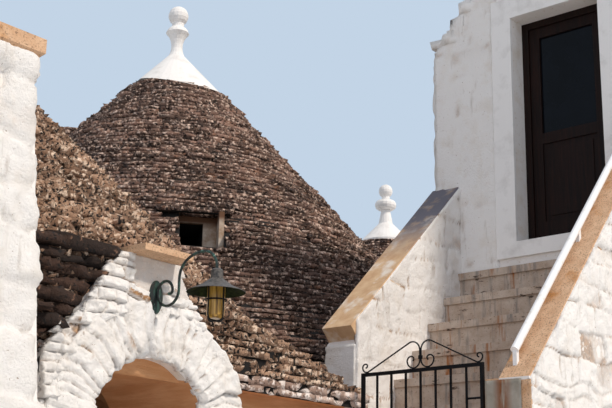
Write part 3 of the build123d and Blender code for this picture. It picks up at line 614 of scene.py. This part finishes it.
def rubble(s, t, course, stone, joint, depth, seed, uneven=0.30, fallen=0.16):
    """Heights and tan share of rubble at places (s, t): rounded stones in wavering courses, tan where worn
    and as painted shade in the deep joints.

    uneven is how far the faces differ, fallen the share of stones that have lost some limewash.
    """
    chance = np.random.default_rng(seed)
    # The joints waver by some 30 mm.
    ws = s + lattice_noise(s, t, 0.16, chance) * 0.030
    wt = t + lattice_noise(s, t, 0.22, chance) * 0.034
    height, tan_share = np.full(len(s), -depth), np.zeros(len(s))
    low = wt.min() - chance.uniform(0, course[0])
    while low < wt.max():
        high = low + chance.uniform(*course)
        row = np.nonzero((wt >= low) & (wt < high))[0]
        count = int((ws.max() - ws.min()) / stone[0]) + 3
        ends = ws.min() - chance.uniform(0, stone[0]) + np.cumsum(np.r_[0, chance.uniform(*stone, count)])
        column = np.searchsorted(ends, ws[row]) - 1
        side = np.minimum(ws[row] - ends[column], ends[column + 1] - ws[row])
        gap = np.clip(np.minimum(side, np.minimum(wt[row] - low, high - wt[row])) / joint, 0, 1)
        face = chance.normal(0, uneven, count + 1)[column]
        above = (wt[row] - (low + high) / 2) / (high - low)
        tilt = chance.normal(0, uneven * 1.2, count + 1)[column] * above
        height[row] = depth * (face + tilt - (1 - gap) ** 2)
        worn = (chance.random(count + 1) < fallen)[column]
        # Worn stones show tan only on their lower part: partly bare stone, partly painted shade beneath each
        # stone.
        tan_share[row] = worn * np.clip(1.4 * gap - 0.5, 0, 1) * (wt[row] < low + 0.45 * (high - low))
        low = high
    patch = np.clip(lattice_noise(s, t, 0.11, chance) * 1.6 - 0.1, 0, 1)
    # Deep joints are tinted tan brown as painted shade in the crevices.
    crevice = np.clip(-height / depth - 0.40, 0, 1) * 1.9
    height += depth * (0.34 * lattice_noise(s, t, 0.05, chance) + 0.26 * lattice_noise(s, t, 0.020, chance))
    return height, np.clip(tan_share * patch * 1.5 + crevice * np.clip(patch * 2.2, 0.25, 1), 0, 1)


def only(kind, items):
    return [item for item in items if isinstance(item, kind)]


def relief_skin(name, place, cells, relief, finish, keep=None, thick=0.03, around=False, curved=False):
    """A closed skin over a wall; place gives points, outward normals and (s, t) for places from 0 to 1."""
    bm = bmesh.new()
    bmesh.ops.create_grid(bm, x_segments=cells[0], y_segments=cells[1], size=0.5)
    grid = np.array([corner.co[:2] for corner in bm.verts]) + 0.5
    points, normals, s, t = place(grid[:, 0], grid[:, 1])
    if around:
        s = np.where(grid[:, 0] > 1 - 1e-6, s.min(), s)
    height, tan_share = relief(s, t)
    raised = points + normals * height[:, None]
    layer = bm.verts.layers.float.new("tint")
    for corner, co, value in zip(bm.verts, raised, tan_share):
        corner.co = co
        corner[layer] = value
    if keep is not None:
        bm.faces.ensure_lookup_table()
        corners = np.array([[corner.index for corner in face.verts] for face in bm.faces])
        wanted = keep(s[corners].mean(axis=1), t[corners].mean(axis=1))
        drop = [face for face, kept in zip(bm.faces, wanted) if not kept]
        bmesh.ops.delete(bm, geom=drop, context="FACES")
    if around:
        bmesh.ops.remove_doubles(bm, verts=bm.verts[:], dist=1e-5)
    else:
        back = {tuple(np.round(co, 6)): normal for co, normal in zip(raised.astype(np.float32), normals)}
        if curved:
            made = bmesh.ops.extrude_face_region(bm, geom=bm.faces[:], use_keep_orig=True)["geom"]
        else:
            rim = [edge for edge in bm.edges if edge.is_boundary]
            made = bmesh.ops.extrude_edge_only(bm, edges=rim)["geom"]
        for corner in only(bmesh.types.BMVert, made):
            near = back.get(tuple(np.round(np.array(corner.co[:], np.float32), 6)), normals[0])
            corner.co -= Vector(near) * thick
    bmesh.ops.holes_fill(bm, edges=[edge for edge in bm.edges if edge.is_boundary], sides=0)
    bmesh.ops.recalc_face_normals(bm, faces=bm.faces[:])
    for face in bm.faces:
        face.smooth = len(face.verts) == 4
    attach(piece_of(name, bm, finish), "house")


def wall_place(start, end, low, high):
    """A flat wall from one (x, y) to another, with its face on the right of that way.

    low and high are its foot and head, or give them along the wall, from 0 to 1.
    """
    start, end = np.array(start, float), np.array(end, float)
    length = np.linalg.norm(end - start)
    way = (end - start) / length

    def place(u, v):
        foot, head = low(u) if callable(low) else low, high(u) if callable(high) else high
        t = foot + (head - foot) * v
        flat = start + (end - start) * u[:, None]
        normals = np.tile(np.array([way[1], -way[0], 0.0]), (len(u), 1))
        return np.concatenate([flat, t[:, None]], axis=1), normals, u * length, t
    return place


def rounds(course, stone, joint, depth, seed, lift=0.004, uneven=0.30, fallen=0.16, wear_and_shade=1.0):
    """A relief of rubble with fixed sizes, lifted off the solid wall; the last argument scales its tan, worn
    stone and painted shade in the joints.
    """
    def relief(s, t):
        height, tan_share = rubble(s, t, course, stone, joint, depth, seed, uneven, fallen)
        return height + depth + lift, tan_share * wear_and_shade
    return relief


# Limewashed rubble: chalky white, creamy where thin, tan where the wash has worn, and tan brown in the deep
# joints as painted shade.
rubble_wash = material("limewashed_rubble", 0.9, "#fffcf9", ("#f5eee6", 200, 0.50, 0.75),
                       ("#d3cbc3", 60, 0.60, 0.80, 4.0, (1.0, 1.0, 0.16)), ("#a08a78", 17, 0.66, 0.74),
                       (("#c19467", ("#7d5c40", 40, 0.35, 0.65)), own_shade, 26, 0.22, 0.45),
                       grit=(6.0, 16, 0.30, 0.70, 8.0, None, 0.72))

# The portal: rubble in thin uneven courses, stepping in with the slope of the roof on both sides.
# Under the cap stone it is smoothly plastered; the stones are laid round a ring of thin voussoirs.
GABLE_SHOULDER, GABLE_LEFT, GABLE_RIGHT, STEP_HIGH = 1.90, -3.20, -2.85, 0.075
ARCH_SPRING, ARCH_RADIUS, RING_DEPTH = 1.56, 0.425, 0.31


def gable_edge(t, side):
    """Place of the sloping edge at a height, stepping with the courses."""
    step = np.random.default_rng(5 + side).uniform(-0.004, 0.070, 200)[(t / STEP_HIGH).astype(int)]
    foot, head = (portal_low.x, GABLE_LEFT) if side < 0 else (portal_high.x, GABLE_RIGHT)
    share = np.clip((t - GABLE_SHOULDER) / (portal_high.z - GABLE_SHOULDER), 0, 1)
    return foot + (head - foot) * share + side * np.where(t > GABLE_SHOULDER - 0.1, step, 0)


def on_portal(s, t):
    x = s + portal_low.x
    ring = np.where(t > ARCH_SPRING, np.hypot(x - ARCH_X, t - ARCH_SPRING), np.abs(x - ARCH_X))
    return (ring > ARCH_RADIUS + RING_DEPTH - 0.05) & (x > gable_edge(t, -1)) & (x < gable_edge(t, 1))


LAMP_X, LAMP_Z, PLATE_WIDE, PLATE_HIGH, PLASTER_FOOT = -2.976, 2.325, 0.050, 0.096, 2.37


def round_plate(x, z):
    """0 on the lamp's oval wall plate, rising to 1 a little way off it."""
    return np.clip((np.hypot((x - LAMP_X) / PLATE_WIDE, (z - LAMP_Z) / PLATE_HIGH) - 1.02) / 0.30, 0, 1)


def portal_relief(s, t):
    height, tan_share = rubble(s, t, (0.040, 0.086), (0.06, 0.22), 0.013, 0.036, 11, 0.40, 0.40)
    x = s + portal_low.x
    patch = np.clip((t - PLASTER_FOOT + 0.03 * np.sin(s * 21)) / 0.015, 0, 1) * (x > GABLE_LEFT + 0.05)
    flat = np.maximum(patch, 1 - round_plate(x, t))
    # Under the cap stone the plaster is tinted a little tan: brown dirt, and partly the painted shadow of
    # the cap stone.
    return np.maximum(height + 0.034, 0) * (1 - flat) + 0.003, tan_share * (1 - patch) + 0.25 * patch


portal_flat = wall_place((portal_low.x, portal_low.y), (portal_high.x, portal_low.y), 0, portal_high.z)


def portal_place(u, v):
    """The rows crowd together over the springing of the arch, where the stones are seen from near."""
    return portal_flat(u, np.where(v < 0.25, v * 2.0, 0.5 + (v - 0.25) / 1.5))


relief_skin("portal_rubble", portal_place, (200, 260), portal_relief, rubble_wash, on_portal)


def ring_place(u, v):
    """Round the arch: up the left jamb, over the half circle and down the right jamb."""
    turn = math.pi * ARCH_RADIUS
    s = u * (2 * ARCH_SPRING + turn)
    angle = np.clip((s - ARCH_SPRING) / ARCH_RADIUS, 0, math.pi)
    rough = 0.012 * np.sin(s * 31) * np.sin(s * 13 + 1) + 0.006 * np.sin(s * 67)
    reach = ARCH_RADIUS + RING_DEPTH * v + rough * (1 - v)
    x, z = ARCH_X - reach * np.cos(angle), ARCH_SPRING + reach * np.sin(angle)
    z = np.where(s < ARCH_SPRING, s, np.where(s > ARCH_SPRING + turn, 2 * ARCH_SPRING + turn - s, z))
    points = np.stack([x, np.full(len(u), portal_low.y), z], axis=1)
    return points, np.tile((0.0, -1.0, 0.0), (len(u), 1)), s, v * RING_DEPTH


def ring_relief(s, t):
    height, tan_share = rubble(s, t, (0.33, 0.35), (0.030, 0.085), 0.010, 0.024, 12, 0.34, 0.18)
    edge = np.clip(1 - t / 0.03, 0, 1) ** 2 * 0.014
    angle, reach = (s - ARCH_SPRING) / ARCH_RADIUS, ARCH_RADIUS + t
    x = np.where(s < ARCH_SPRING, ARCH_X - ARCH_RADIUS - t, ARCH_X - np.cos(angle) * reach)
    z = ARCH_SPRING + np.sin(angle) * reach
    return (height + 0.032 - edge) * np.where(t > 0.1, round_plate(x, z), 1) + 0.003, tan_share


relief_skin("arch_ring", ring_place, (640, 26), ring_relief, rubble_wash)

# The head of the arch is filled behind the ring and washed brown, like the passage.
HEAD_HALF, HEAD_LOW, HEAD_HIGH = 0.30, 1.885, 1.99


def plain_sheet(s, t):
    return 0.004 + 0.002 * np.sin(s * 40) * np.sin(t * 9), np.zeros(len(s))


def under_ring(s, t):
    return np.hypot(s - HEAD_HALF, t - ARCH_SPRING) < ARCH_RADIUS + 0.006


head_left, head_right = (ARCH_X - HEAD_HALF, small_low.y), (ARCH_X + HEAD_HALF, small_low.y)
head_place = wall_place(head_left, head_right, HEAD_LOW, HEAD_HIGH)
relief_skin("arch_head", head_place, (60, 12), plain_sheet, brown_wash, under_ring)

# The chimney stack: large blocks under so many coats that they look soft, wider at the foot.
STACK_TOP, STACK_GIRTH, SQUARENESS = (-4.83, -4.10), 3.6, 14


def stack_place(u, v):
    """Round the four battered faces of the stack, with its corners rounded over."""
    height = stack_high.z * v
    left = stack_low.x + (STACK_TOP[0] - stack_low.x) * v
    right = stack_high.x + (STACK_TOP[1] - stack_high.x) * v
    middle_x, half_x = (left + right) / 2, (right - left) / 2
    middle_y, half_y = (stack_low.y + stack_high.y) / 2, (stack_high.y - stack_low.y) / 2
    turn = (u - 0.375) * 2 * math.pi
    c, d = np.cos(turn), np.sin(turn)
    size = (np.abs(c) ** SQUARENESS + np.abs(d) ** SQUARENESS) ** (-1 / SQUARENESS)
    x, y = c * size, d * size
    power = SQUARENESS - 1
    slope = np.stack([np.sign(c) * np.abs(x) ** power, np.sign(d) * np.abs(y) ** power], axis=1)
    slope = slope / np.linalg.norm(slope, axis=1)[:, None]
    points = np.stack([middle_x + x * half_x, middle_y + y * half_y, height], axis=1)
    normals = np.concatenate([slope, np.zeros((len(u), 1))], axis=1)
    return points, normals, u * STACK_GIRTH, height


def stack_relief(s, t):
    height, tan_share = rubble(s, t, (0.20, 0.34), (0.25, 0.55), 0.045, 0.024, 13, 0.45)
    return height + 0.036, tan_share * 0.12


relief_skin("chimney_skin", stack_place, (168, 150), stack_relief, rubble_wash, around=True)

# The lamp's cage: two wires bent under the glass and a ring round them, thick with black paint.
THIN_WIRE, WIRE, CAGE_BEND, RING_Z = 0.0025, 0.0040, 0.030, 2.254
cage_low, cage_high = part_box("lamp_cage")
cage_middle = (cage_low + cage_high) / 2
reach, leg = (cage_high.x - cage_low.x) / 2 - THIN_WIRE, cage_high.z - cage_low.z - CAGE_BEND
bm = bmesh.new()
for turn in (0, math.pi / 2):
    made = bmesh.ops.create_circle(bm, cap_ends=True, segments=8, radius=WIRE,
                                   matrix=Matrix.Translation((-reach, 0, cage_high.z)))["verts"]
    end = [made[0].link_faces[0]]
    for move, bend in (((0, 0, -leg), -1), ((2 * (reach - CAGE_BEND), 0, 0), 1), ((0, 0, leg), 0)):
        end = bmesh.ops.extrude_face_region(bm, geom=end)["geom"]
        bmesh.ops.translate(bm, verts=only(bmesh.types.BMVert, end), vec=move)
        if bend:
            centre = (bend * (reach - CAGE_BEND), 0, cage_high.z - leg)
            end = bmesh.ops.spin(bm, geom=only(bmesh.types.BMFace, end), cent=centre, axis=(0, 1, 0),
                                 angle=-math.pi / 2, steps=6)["geom_last"]
            end = only(bmesh.types.BMFace, end)
    wire = [corner for corner in bm.verts if not corner.tag]
    bmesh.ops.rotate(bm, verts=wire, cent=(0, 0, 0), matrix=Matrix.Rotation(turn, 3, "Z"))
    for corner in wire:
        corner.tag = True
upright = Matrix.Translation((reach, 0, RING_Z)) @ Matrix.Rotation(math.pi / 2, 4, "X")
hoop = bmesh.ops.create_circle(bm, segments=8, radius=WIRE, matrix=upright)["verts"]
sides = list(dict.fromkeys(edge for corner in hoop for edge in corner.link_edges))
bmesh.ops.spin(bm, geom=hoop + sides, cent=(0, 0, RING_Z), axis=(0, 0, 1), angle=2 * math.pi, steps=24,
               use_merge=True)
bmesh.ops.translate(bm, verts=bm.verts[:], vec=(cage_middle.x, cage_middle.y, 0))
bmesh.ops.recalc_face_normals(bm, faces=bm.faces[:])
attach(piece_of("cage_wires", bm, black_iron), "house")

# The parapets of the stair: the same masonry, in bigger stones, flush with the copings above.
left_low, left_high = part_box("left_parapet")
right_low, right_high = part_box("right_parapet")
COPING_THICK, LEFT_SLOPE, RIGHT_SLOPE = 0.130, 0.965, 1.09


def coping_line(parapet_low, parapet_high, coping, slope, drop):
    """Height of a coping's top edge along a parapet, less a drop, from its lower end to the wing."""
    top_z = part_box(coping)[1].z

    def head(u):
        return top_z - slope * (parapet_high.x - parapet_low.x) * (1 - u) - drop
    return head


left_head = coping_line(left_low, left_high, "left_coping", LEFT_SLOPE, 0.012)
right_head = coping_line(right_low, right_high, "right_coping", RIGHT_SLOPE, 0.016)
blocks = rounds((0.16, 0.30), (0.22, 0.52), 0.014, 0.014, 14, uneven=0.28, fallen=0.03)
left_place = wall_place((left_low.x, left_low.y), (left_high.x, left_low.y), 0, left_head)
relief_skin("left_parapet_skin", left_place, (90, 180), blocks, rubble_wash)
end_high = left_head(np.array([0.0]))[0] - COPING_THICK / math.cos(math.atan(LEFT_SLOPE))
end_place = wall_place((left_low.x, left_high.y), (left_low.x, left_low.y), 0, end_high)
end_blocks = rounds((0.16, 0.30), (0.22, 0.52), 0.014, 0.008, 21, fallen=0.0, wear_and_shade=0.0)
relief_skin("left_parapet_end", end_place, (18, 120), end_blocks, rubble_wash)
right_place = wall_place((right_low.x, right_low.y), (right_high.x, right_low.y), 0, right_head)
right_blocks = rounds((0.08, 0.20), (0.12, 0.38), 0.014, 0.017, 15, uneven=0.34, fallen=0.0, wear_and_shade=0.7)
relief_skin("right_parapet_skin", right_place, (190, 230), right_blocks, rubble_wash)

# The newel: the end of the near parapet is faced with a thin grey plate, streaked with rust from the gate.
# A strip of bare sandstone shows between the plate and the limewash.
RUST_Y, RUST_HALF, RUST_FULL = -1.205, 0.070, 0.010


def rust_streak(tree, place):
    """A streak down the plate, full at its middle and gone at its sides."""
    split = add(tree, "ShaderNodeSeparateXYZ", Vector=place)
    off = add(tree, "ShaderNodeMath", {"operation": "ADD"}, _0=split.outputs["Y"], _1=-RUST_Y)
    off = add(tree, "ShaderNodeMath", {"operation": "ABSOLUTE"}, _0=off.outputs[0])
    return add(tree, "ShaderNodeMapRange", _0=off.outputs[0], _1=RUST_HALF, _2=RUST_FULL).outputs["Result"]


grey_plate = material("grey_render", 0.85, "#8d887c", ("#aba59b", 140, 0.35, 0.70),
                      ("#7d4517", rust_streak, 30, 0.25, 0.45, 4.0, (1.0, 1.0, 0.10)),
                      grit=(1.5, 14, 0.2, 0.8))
newel_low, newel_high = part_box("newel_block")
PLATE_RIGHT, PLATE_THICK = -1.335, 0.012
plate_edge = (newel_low.x, PLATE_RIGHT)
plate_place = wall_place((newel_low.x, newel_high.y), plate_edge, 0, newel_high.z - 0.01)
relief_skin("newel_plate", plate_place, (14, 60), plain_sheet, grey_plate, thick=PLATE_THICK)
strip_place = wall_place(plate_edge, (newel_low.x, right_low.y - 0.012), 0, newel_high.z - 0.02)
relief_skin("newel_strip", strip_place, (4, 60), plain_sheet, sandstone, thick=PLATE_THICK)

# The wing: squared rubble under an even limewash, so only faint courses show.
wing_low, wing_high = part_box("wing_front_base")
surround_low, surround_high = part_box("door_surround")
verge_low, verge_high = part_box("wing_front_gable")
wing_middle = (wing_low.y + wing_high.y) / 2
WING_PITCH = 1.19
eave_z = verge_high.z - WING_PITCH * (wing_high.y - wing_middle)


def on_wing_front(s, t):
    y = wing_high.y - s
    beside = (y > surround_high.y) | (y < surround_low.y) | (t > surround_high.z)
    return beside & (t < verge_high.z - WING_PITCH * np.abs(y - wing_middle) - 0.01)


faint = rounds((0.20, 0.32), (0.30, 0.60), 0.020, 0.008, 16, 0.003, fallen=0.0, wear_and_shade=0.4)
front_place = wall_place((wing_low.x, wing_high.y), (wing_low.x, wing_low.y), 2.0, verge_high.z)
relief_skin("wing_front_skin", front_place, (100, 150), faint, rubble_wash, on_wing_front)

# The verge of the wing's roof: flat stones laid in small steps up the gable and limewashed over.
# At the eave a longer slab stands out past the wall.
verge_shapes = broken_slabs(10, 9, jitter=(0.03, 0.02, 0.06), round_off=0.05)
VERGE_STEP, VERGE_THICK, VERGE_DEPTH, EAVE_OUT, EAVE_SLAB = 0.103, 0.115, 0.50, 0.05, 0.30
laid = []


def lay_verge_stone(y, z, length, depth, thick):
    centre = (wing_low.x + VERGE_DEPTH / 2, y, z)
    laid.append((block_matrix(centre, (0, 1, 0), (-1, 0, 0), length, depth, thick), 0.0))


for side in (-1, 1):
    reach = 0.04
    while reach < (verge_high.y - verge_low.y) / 2:
        z, length = verge_high.z - WING_PITCH * reach - 0.055, VERGE_STEP * rng.uniform(1.3, 1.6)
        lay_verge_stone(wing_middle + side * reach, z, length, VERGE_DEPTH + 0.02, VERGE_THICK)
        reach += VERGE_STEP
    reach = wing_high.y - wing_middle + EAVE_OUT - EAVE_SLAB / 2
    lay_verge_stone(wing_middle + side * reach, verge_low.z - 0.03, EAVE_SLAB, VERGE_DEPTH + 0.03, 0.07)
join_blocks("verge_stones", verge_shapes, laid, rubble_wash)

# The wing's two slopes: split slabs in courses, each lapping the one below, the eave course standing out.
slope_shapes = broken_slabs(20, 10, jitter=(0.04, 0.06, 0.14))
SLAB_ALONG_SLOPE, SLAB_LAP = 0.20, 0.10
ridge_low, ridge_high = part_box("wing_roof_left")
tilt, laid = math.atan(WING_PITCH), []
for side in (-1, 1):
    down = np.array((0.0, side * math.cos(tilt), -math.sin(tilt)))
    face = np.array((0.0, side * math.sin(tilt), math.cos(tilt)))
    run = (ridge_high.y - ridge_low.y) / math.cos(tilt)
    at = 0.06
    while at < run + 0.04:
        x = ridge_low.x + rng.uniform(0, 0.1)
        while x < ridge_high.x - 0.05:
            length = min(rng.uniform(0.12, 0.42), ridge_high.x - x)
            middle = np.array((x + length / 2, ridge_low.y, ridge_high.z)) + down * at + face * 0.012
            matrix = np.eye(4)
            matrix[0, 0] = length
            matrix[:3, 1] = (down + face * SLAB_LAP) * SLAB_ALONG_SLOPE
            matrix[:3, 2] = face * rng.uniform(0.030, 0.050)
            matrix[:3, 3] = middle
            laid.append((matrix, rng.beta(1.3, 1.5)))
            x += length
        at += rng.uniform(0.10, 0.14)
join_blocks("wing_roof_slabs", slope_shapes, laid, roof_stone)

# The sides and backs that the street does not see: coarser stones under the same limewash.
coarse = rounds((0.20, 0.34), (0.28, 0.62), 0.045, 0.020, 17, wear_and_shade=0.35)


def flat_wall(name, start, end, high, relief=coarse, cell=0.06):
    """A skin from the ground up, in cells of one size."""
    length = math.hypot(end[0] - start[0], end[1] - start[1])
    cells = (round(length / cell), round(high / cell))
    relief_skin(name, wall_place(start, end, 0, high), cells, relief, rubble_wash)


wing_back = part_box("wing_rear_wall")[1]
flat_wall("wing_left_skin", (wing_back.x, wing_high.y), (wing_low.x, wing_high.y), eave_z - 0.12)
flat_wall("wing_right_skin", (wing_low.x, wing_low.y), (wing_back.x, wing_low.y), eave_z - 0.12)


def on_wing_back(s, t):
    y = wing_low.y + s
    return t < wing_back.z - WING_PITCH * np.abs(y - wing_middle) - 0.02


back_place = wall_place((wing_back.x, wing_low.y), (wing_back.x, wing_high.y), 0, wing_back.z)
relief_skin("wing_back_skin", back_place, (58, 120), coarse, rubble_wash, on_wing_back)
flat_wall("wing_foot_skin", (wing_low.x, right_low.y), (wing_low.x, wing_low.y), 2.06)
block_low, block_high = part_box("block_left_wall")
back_low, back_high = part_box("block_back_wall")
flat_wall("block_left_skin", (block_low.x, back_high.y), (block_low.x, 0.06), block_high.z)
flat_wall("block_back_skin", (back_high.x, back_high.y), (back_low.x, back_high.y), block_high.z)
flat_wall("left_parapet_back", (left_high.x, left_high.y), (left_low.x, left_high.y), 2.3, blocks, 0.05)


def drum_place(centre, radius, top, first, last):
    """A drum's outside from a first angle to a last one, and from the ground to its top."""
    def place(u, v):
        angle = first + (last - first) * u
        out = np.stack([np.cos(angle), np.sin(angle), np.zeros(len(u))], axis=1)
        points = out * radius + np.array([centre[0], centre[1], 0])
        points[:, 2] = top * v
        return points, out, angle * radius, top * v
    return place


DRUM_CELL = 0.07
for name, centre, radius, top, first, last in (("main_drum_skin", main_axis, 3.75, 2.43, -150, 205),
                                               ("rear_drum_skin", rear_axis, 2.70, 2.83, -150, 175)):
    first, last = math.radians(first), math.radians(last)
    cells = (round(radius * (last - first) / DRUM_CELL), round(top / DRUM_CELL))
    relief_skin(name, drum_place(centre, radius, top, first, last), cells, coarse, rubble_wash, curved=True)

# The studio: a plain pale floor and a pale sky, soft light from above and from the camera's right.
# The camera stands low before the entrance and looks up at the roofs, as in the photograph.
bm = bmesh.new()
bmesh.ops.create_grid(bm, x_segments=1, y_segments=1, size=90.0)
floor = piece_of("studio_floor", bm, material("studio_floor", 0.9, "#d8dadc"))
floor.location.z = -0.002

world = bpy.data.worlds.new("studio")
bpy.context.scene.world = world
world.use_nodes = True
tree = world.node_tree
soft = tree.nodes["Background"]
soft.inputs["Color"].default_value = colour("#e9eef5")
soft.inputs["Strength"].default_value = 0.55
sky = add(tree, "ShaderNodeBackground", Color=colour("#c3d4e6"), Strength=1.0)
rays = add(tree, "ShaderNodeLightPath")
seen = rays.outputs["Is Camera Ray"]
for kind in ("Is Glossy Ray", "Is Transmission Ray"):
    seen = add(tree, "ShaderNodeMath", {"operation": "MAXIMUM"}, _0=seen, _1=rays.outputs[kind]).outputs[0]
mixed = add(tree, "ShaderNodeMixShader", _0=seen, _1=soft.outputs[0], _2=sky.outputs[0])
tree.links.new(mixed.outputs[0], tree.nodes["World Output"].inputs["Surface"])


def soft_sun(name, strength, direction, spread_deg, shade):
    lamp = bpy.data.lights.new(name, "SUN")
    lamp.energy, lamp.angle, lamp.color = strength, math.radians(spread_deg), colour(shade)[:3]
    holder = bpy.data.objects.new(name, lamp)
    bpy.context.scene.collection.objects.link(holder)
    holder.rotation_mode = "QUATERNION"
    holder.rotation_quaternion = Vector(direction).to_track_quat("-Z", "Y")


soft_sun("key_light", 2.65, (-0.15, 1.0, -1.0), 6, "#fff4e6")
soft_sun("fill_light", 0.35, (0.8, 0.4, -0.5), 60, "#dfe8ff")

CAMERA_PLACE = Vector((-7.48, -5.06, 0.98))
CAMERA_PITCH, CAMERA_ROLL, CAMERA_YAW = math.radians(16.0), math.radians(1.1), math.radians(49.4)
FOCAL_PIXELS, PHOTO_WIDTH, SENSOR_MM = 1209, 612, 36
level = math.cos(CAMERA_PITCH)
ahead = Vector((math.sin(CAMERA_YAW) * level, math.cos(CAMERA_YAW) * level, math.sin(CAMERA_PITCH)))
level_right = Vector((math.cos(CAMERA_YAW), -math.sin(CAMERA_YAW), 0))
level_up = level_right.cross(ahead)
right = math.cos(CAMERA_ROLL) * level_right + math.sin(CAMERA_ROLL) * level_up
upward = -math.sin(CAMERA_ROLL) * level_right + math.cos(CAMERA_ROLL) * level_up
lens = bpy.data.cameras.new("camera")
lens.sensor_width, lens.lens = SENSOR_MM, FOCAL_PIXELS / PHOTO_WIDTH * SENSOR_MM
camera = bpy.data.objects.new("camera", lens)
bpy.context.scene.collection.objects.link(camera)
turned = Matrix((right, upward, -ahead)).transposed().to_4x4()
camera.matrix_world = Matrix.Translation(CAMERA_PLACE) @ turned
bpy.context.scene.camera = camera
bpy.context.scene.view_settings.view_transform = "Standard"
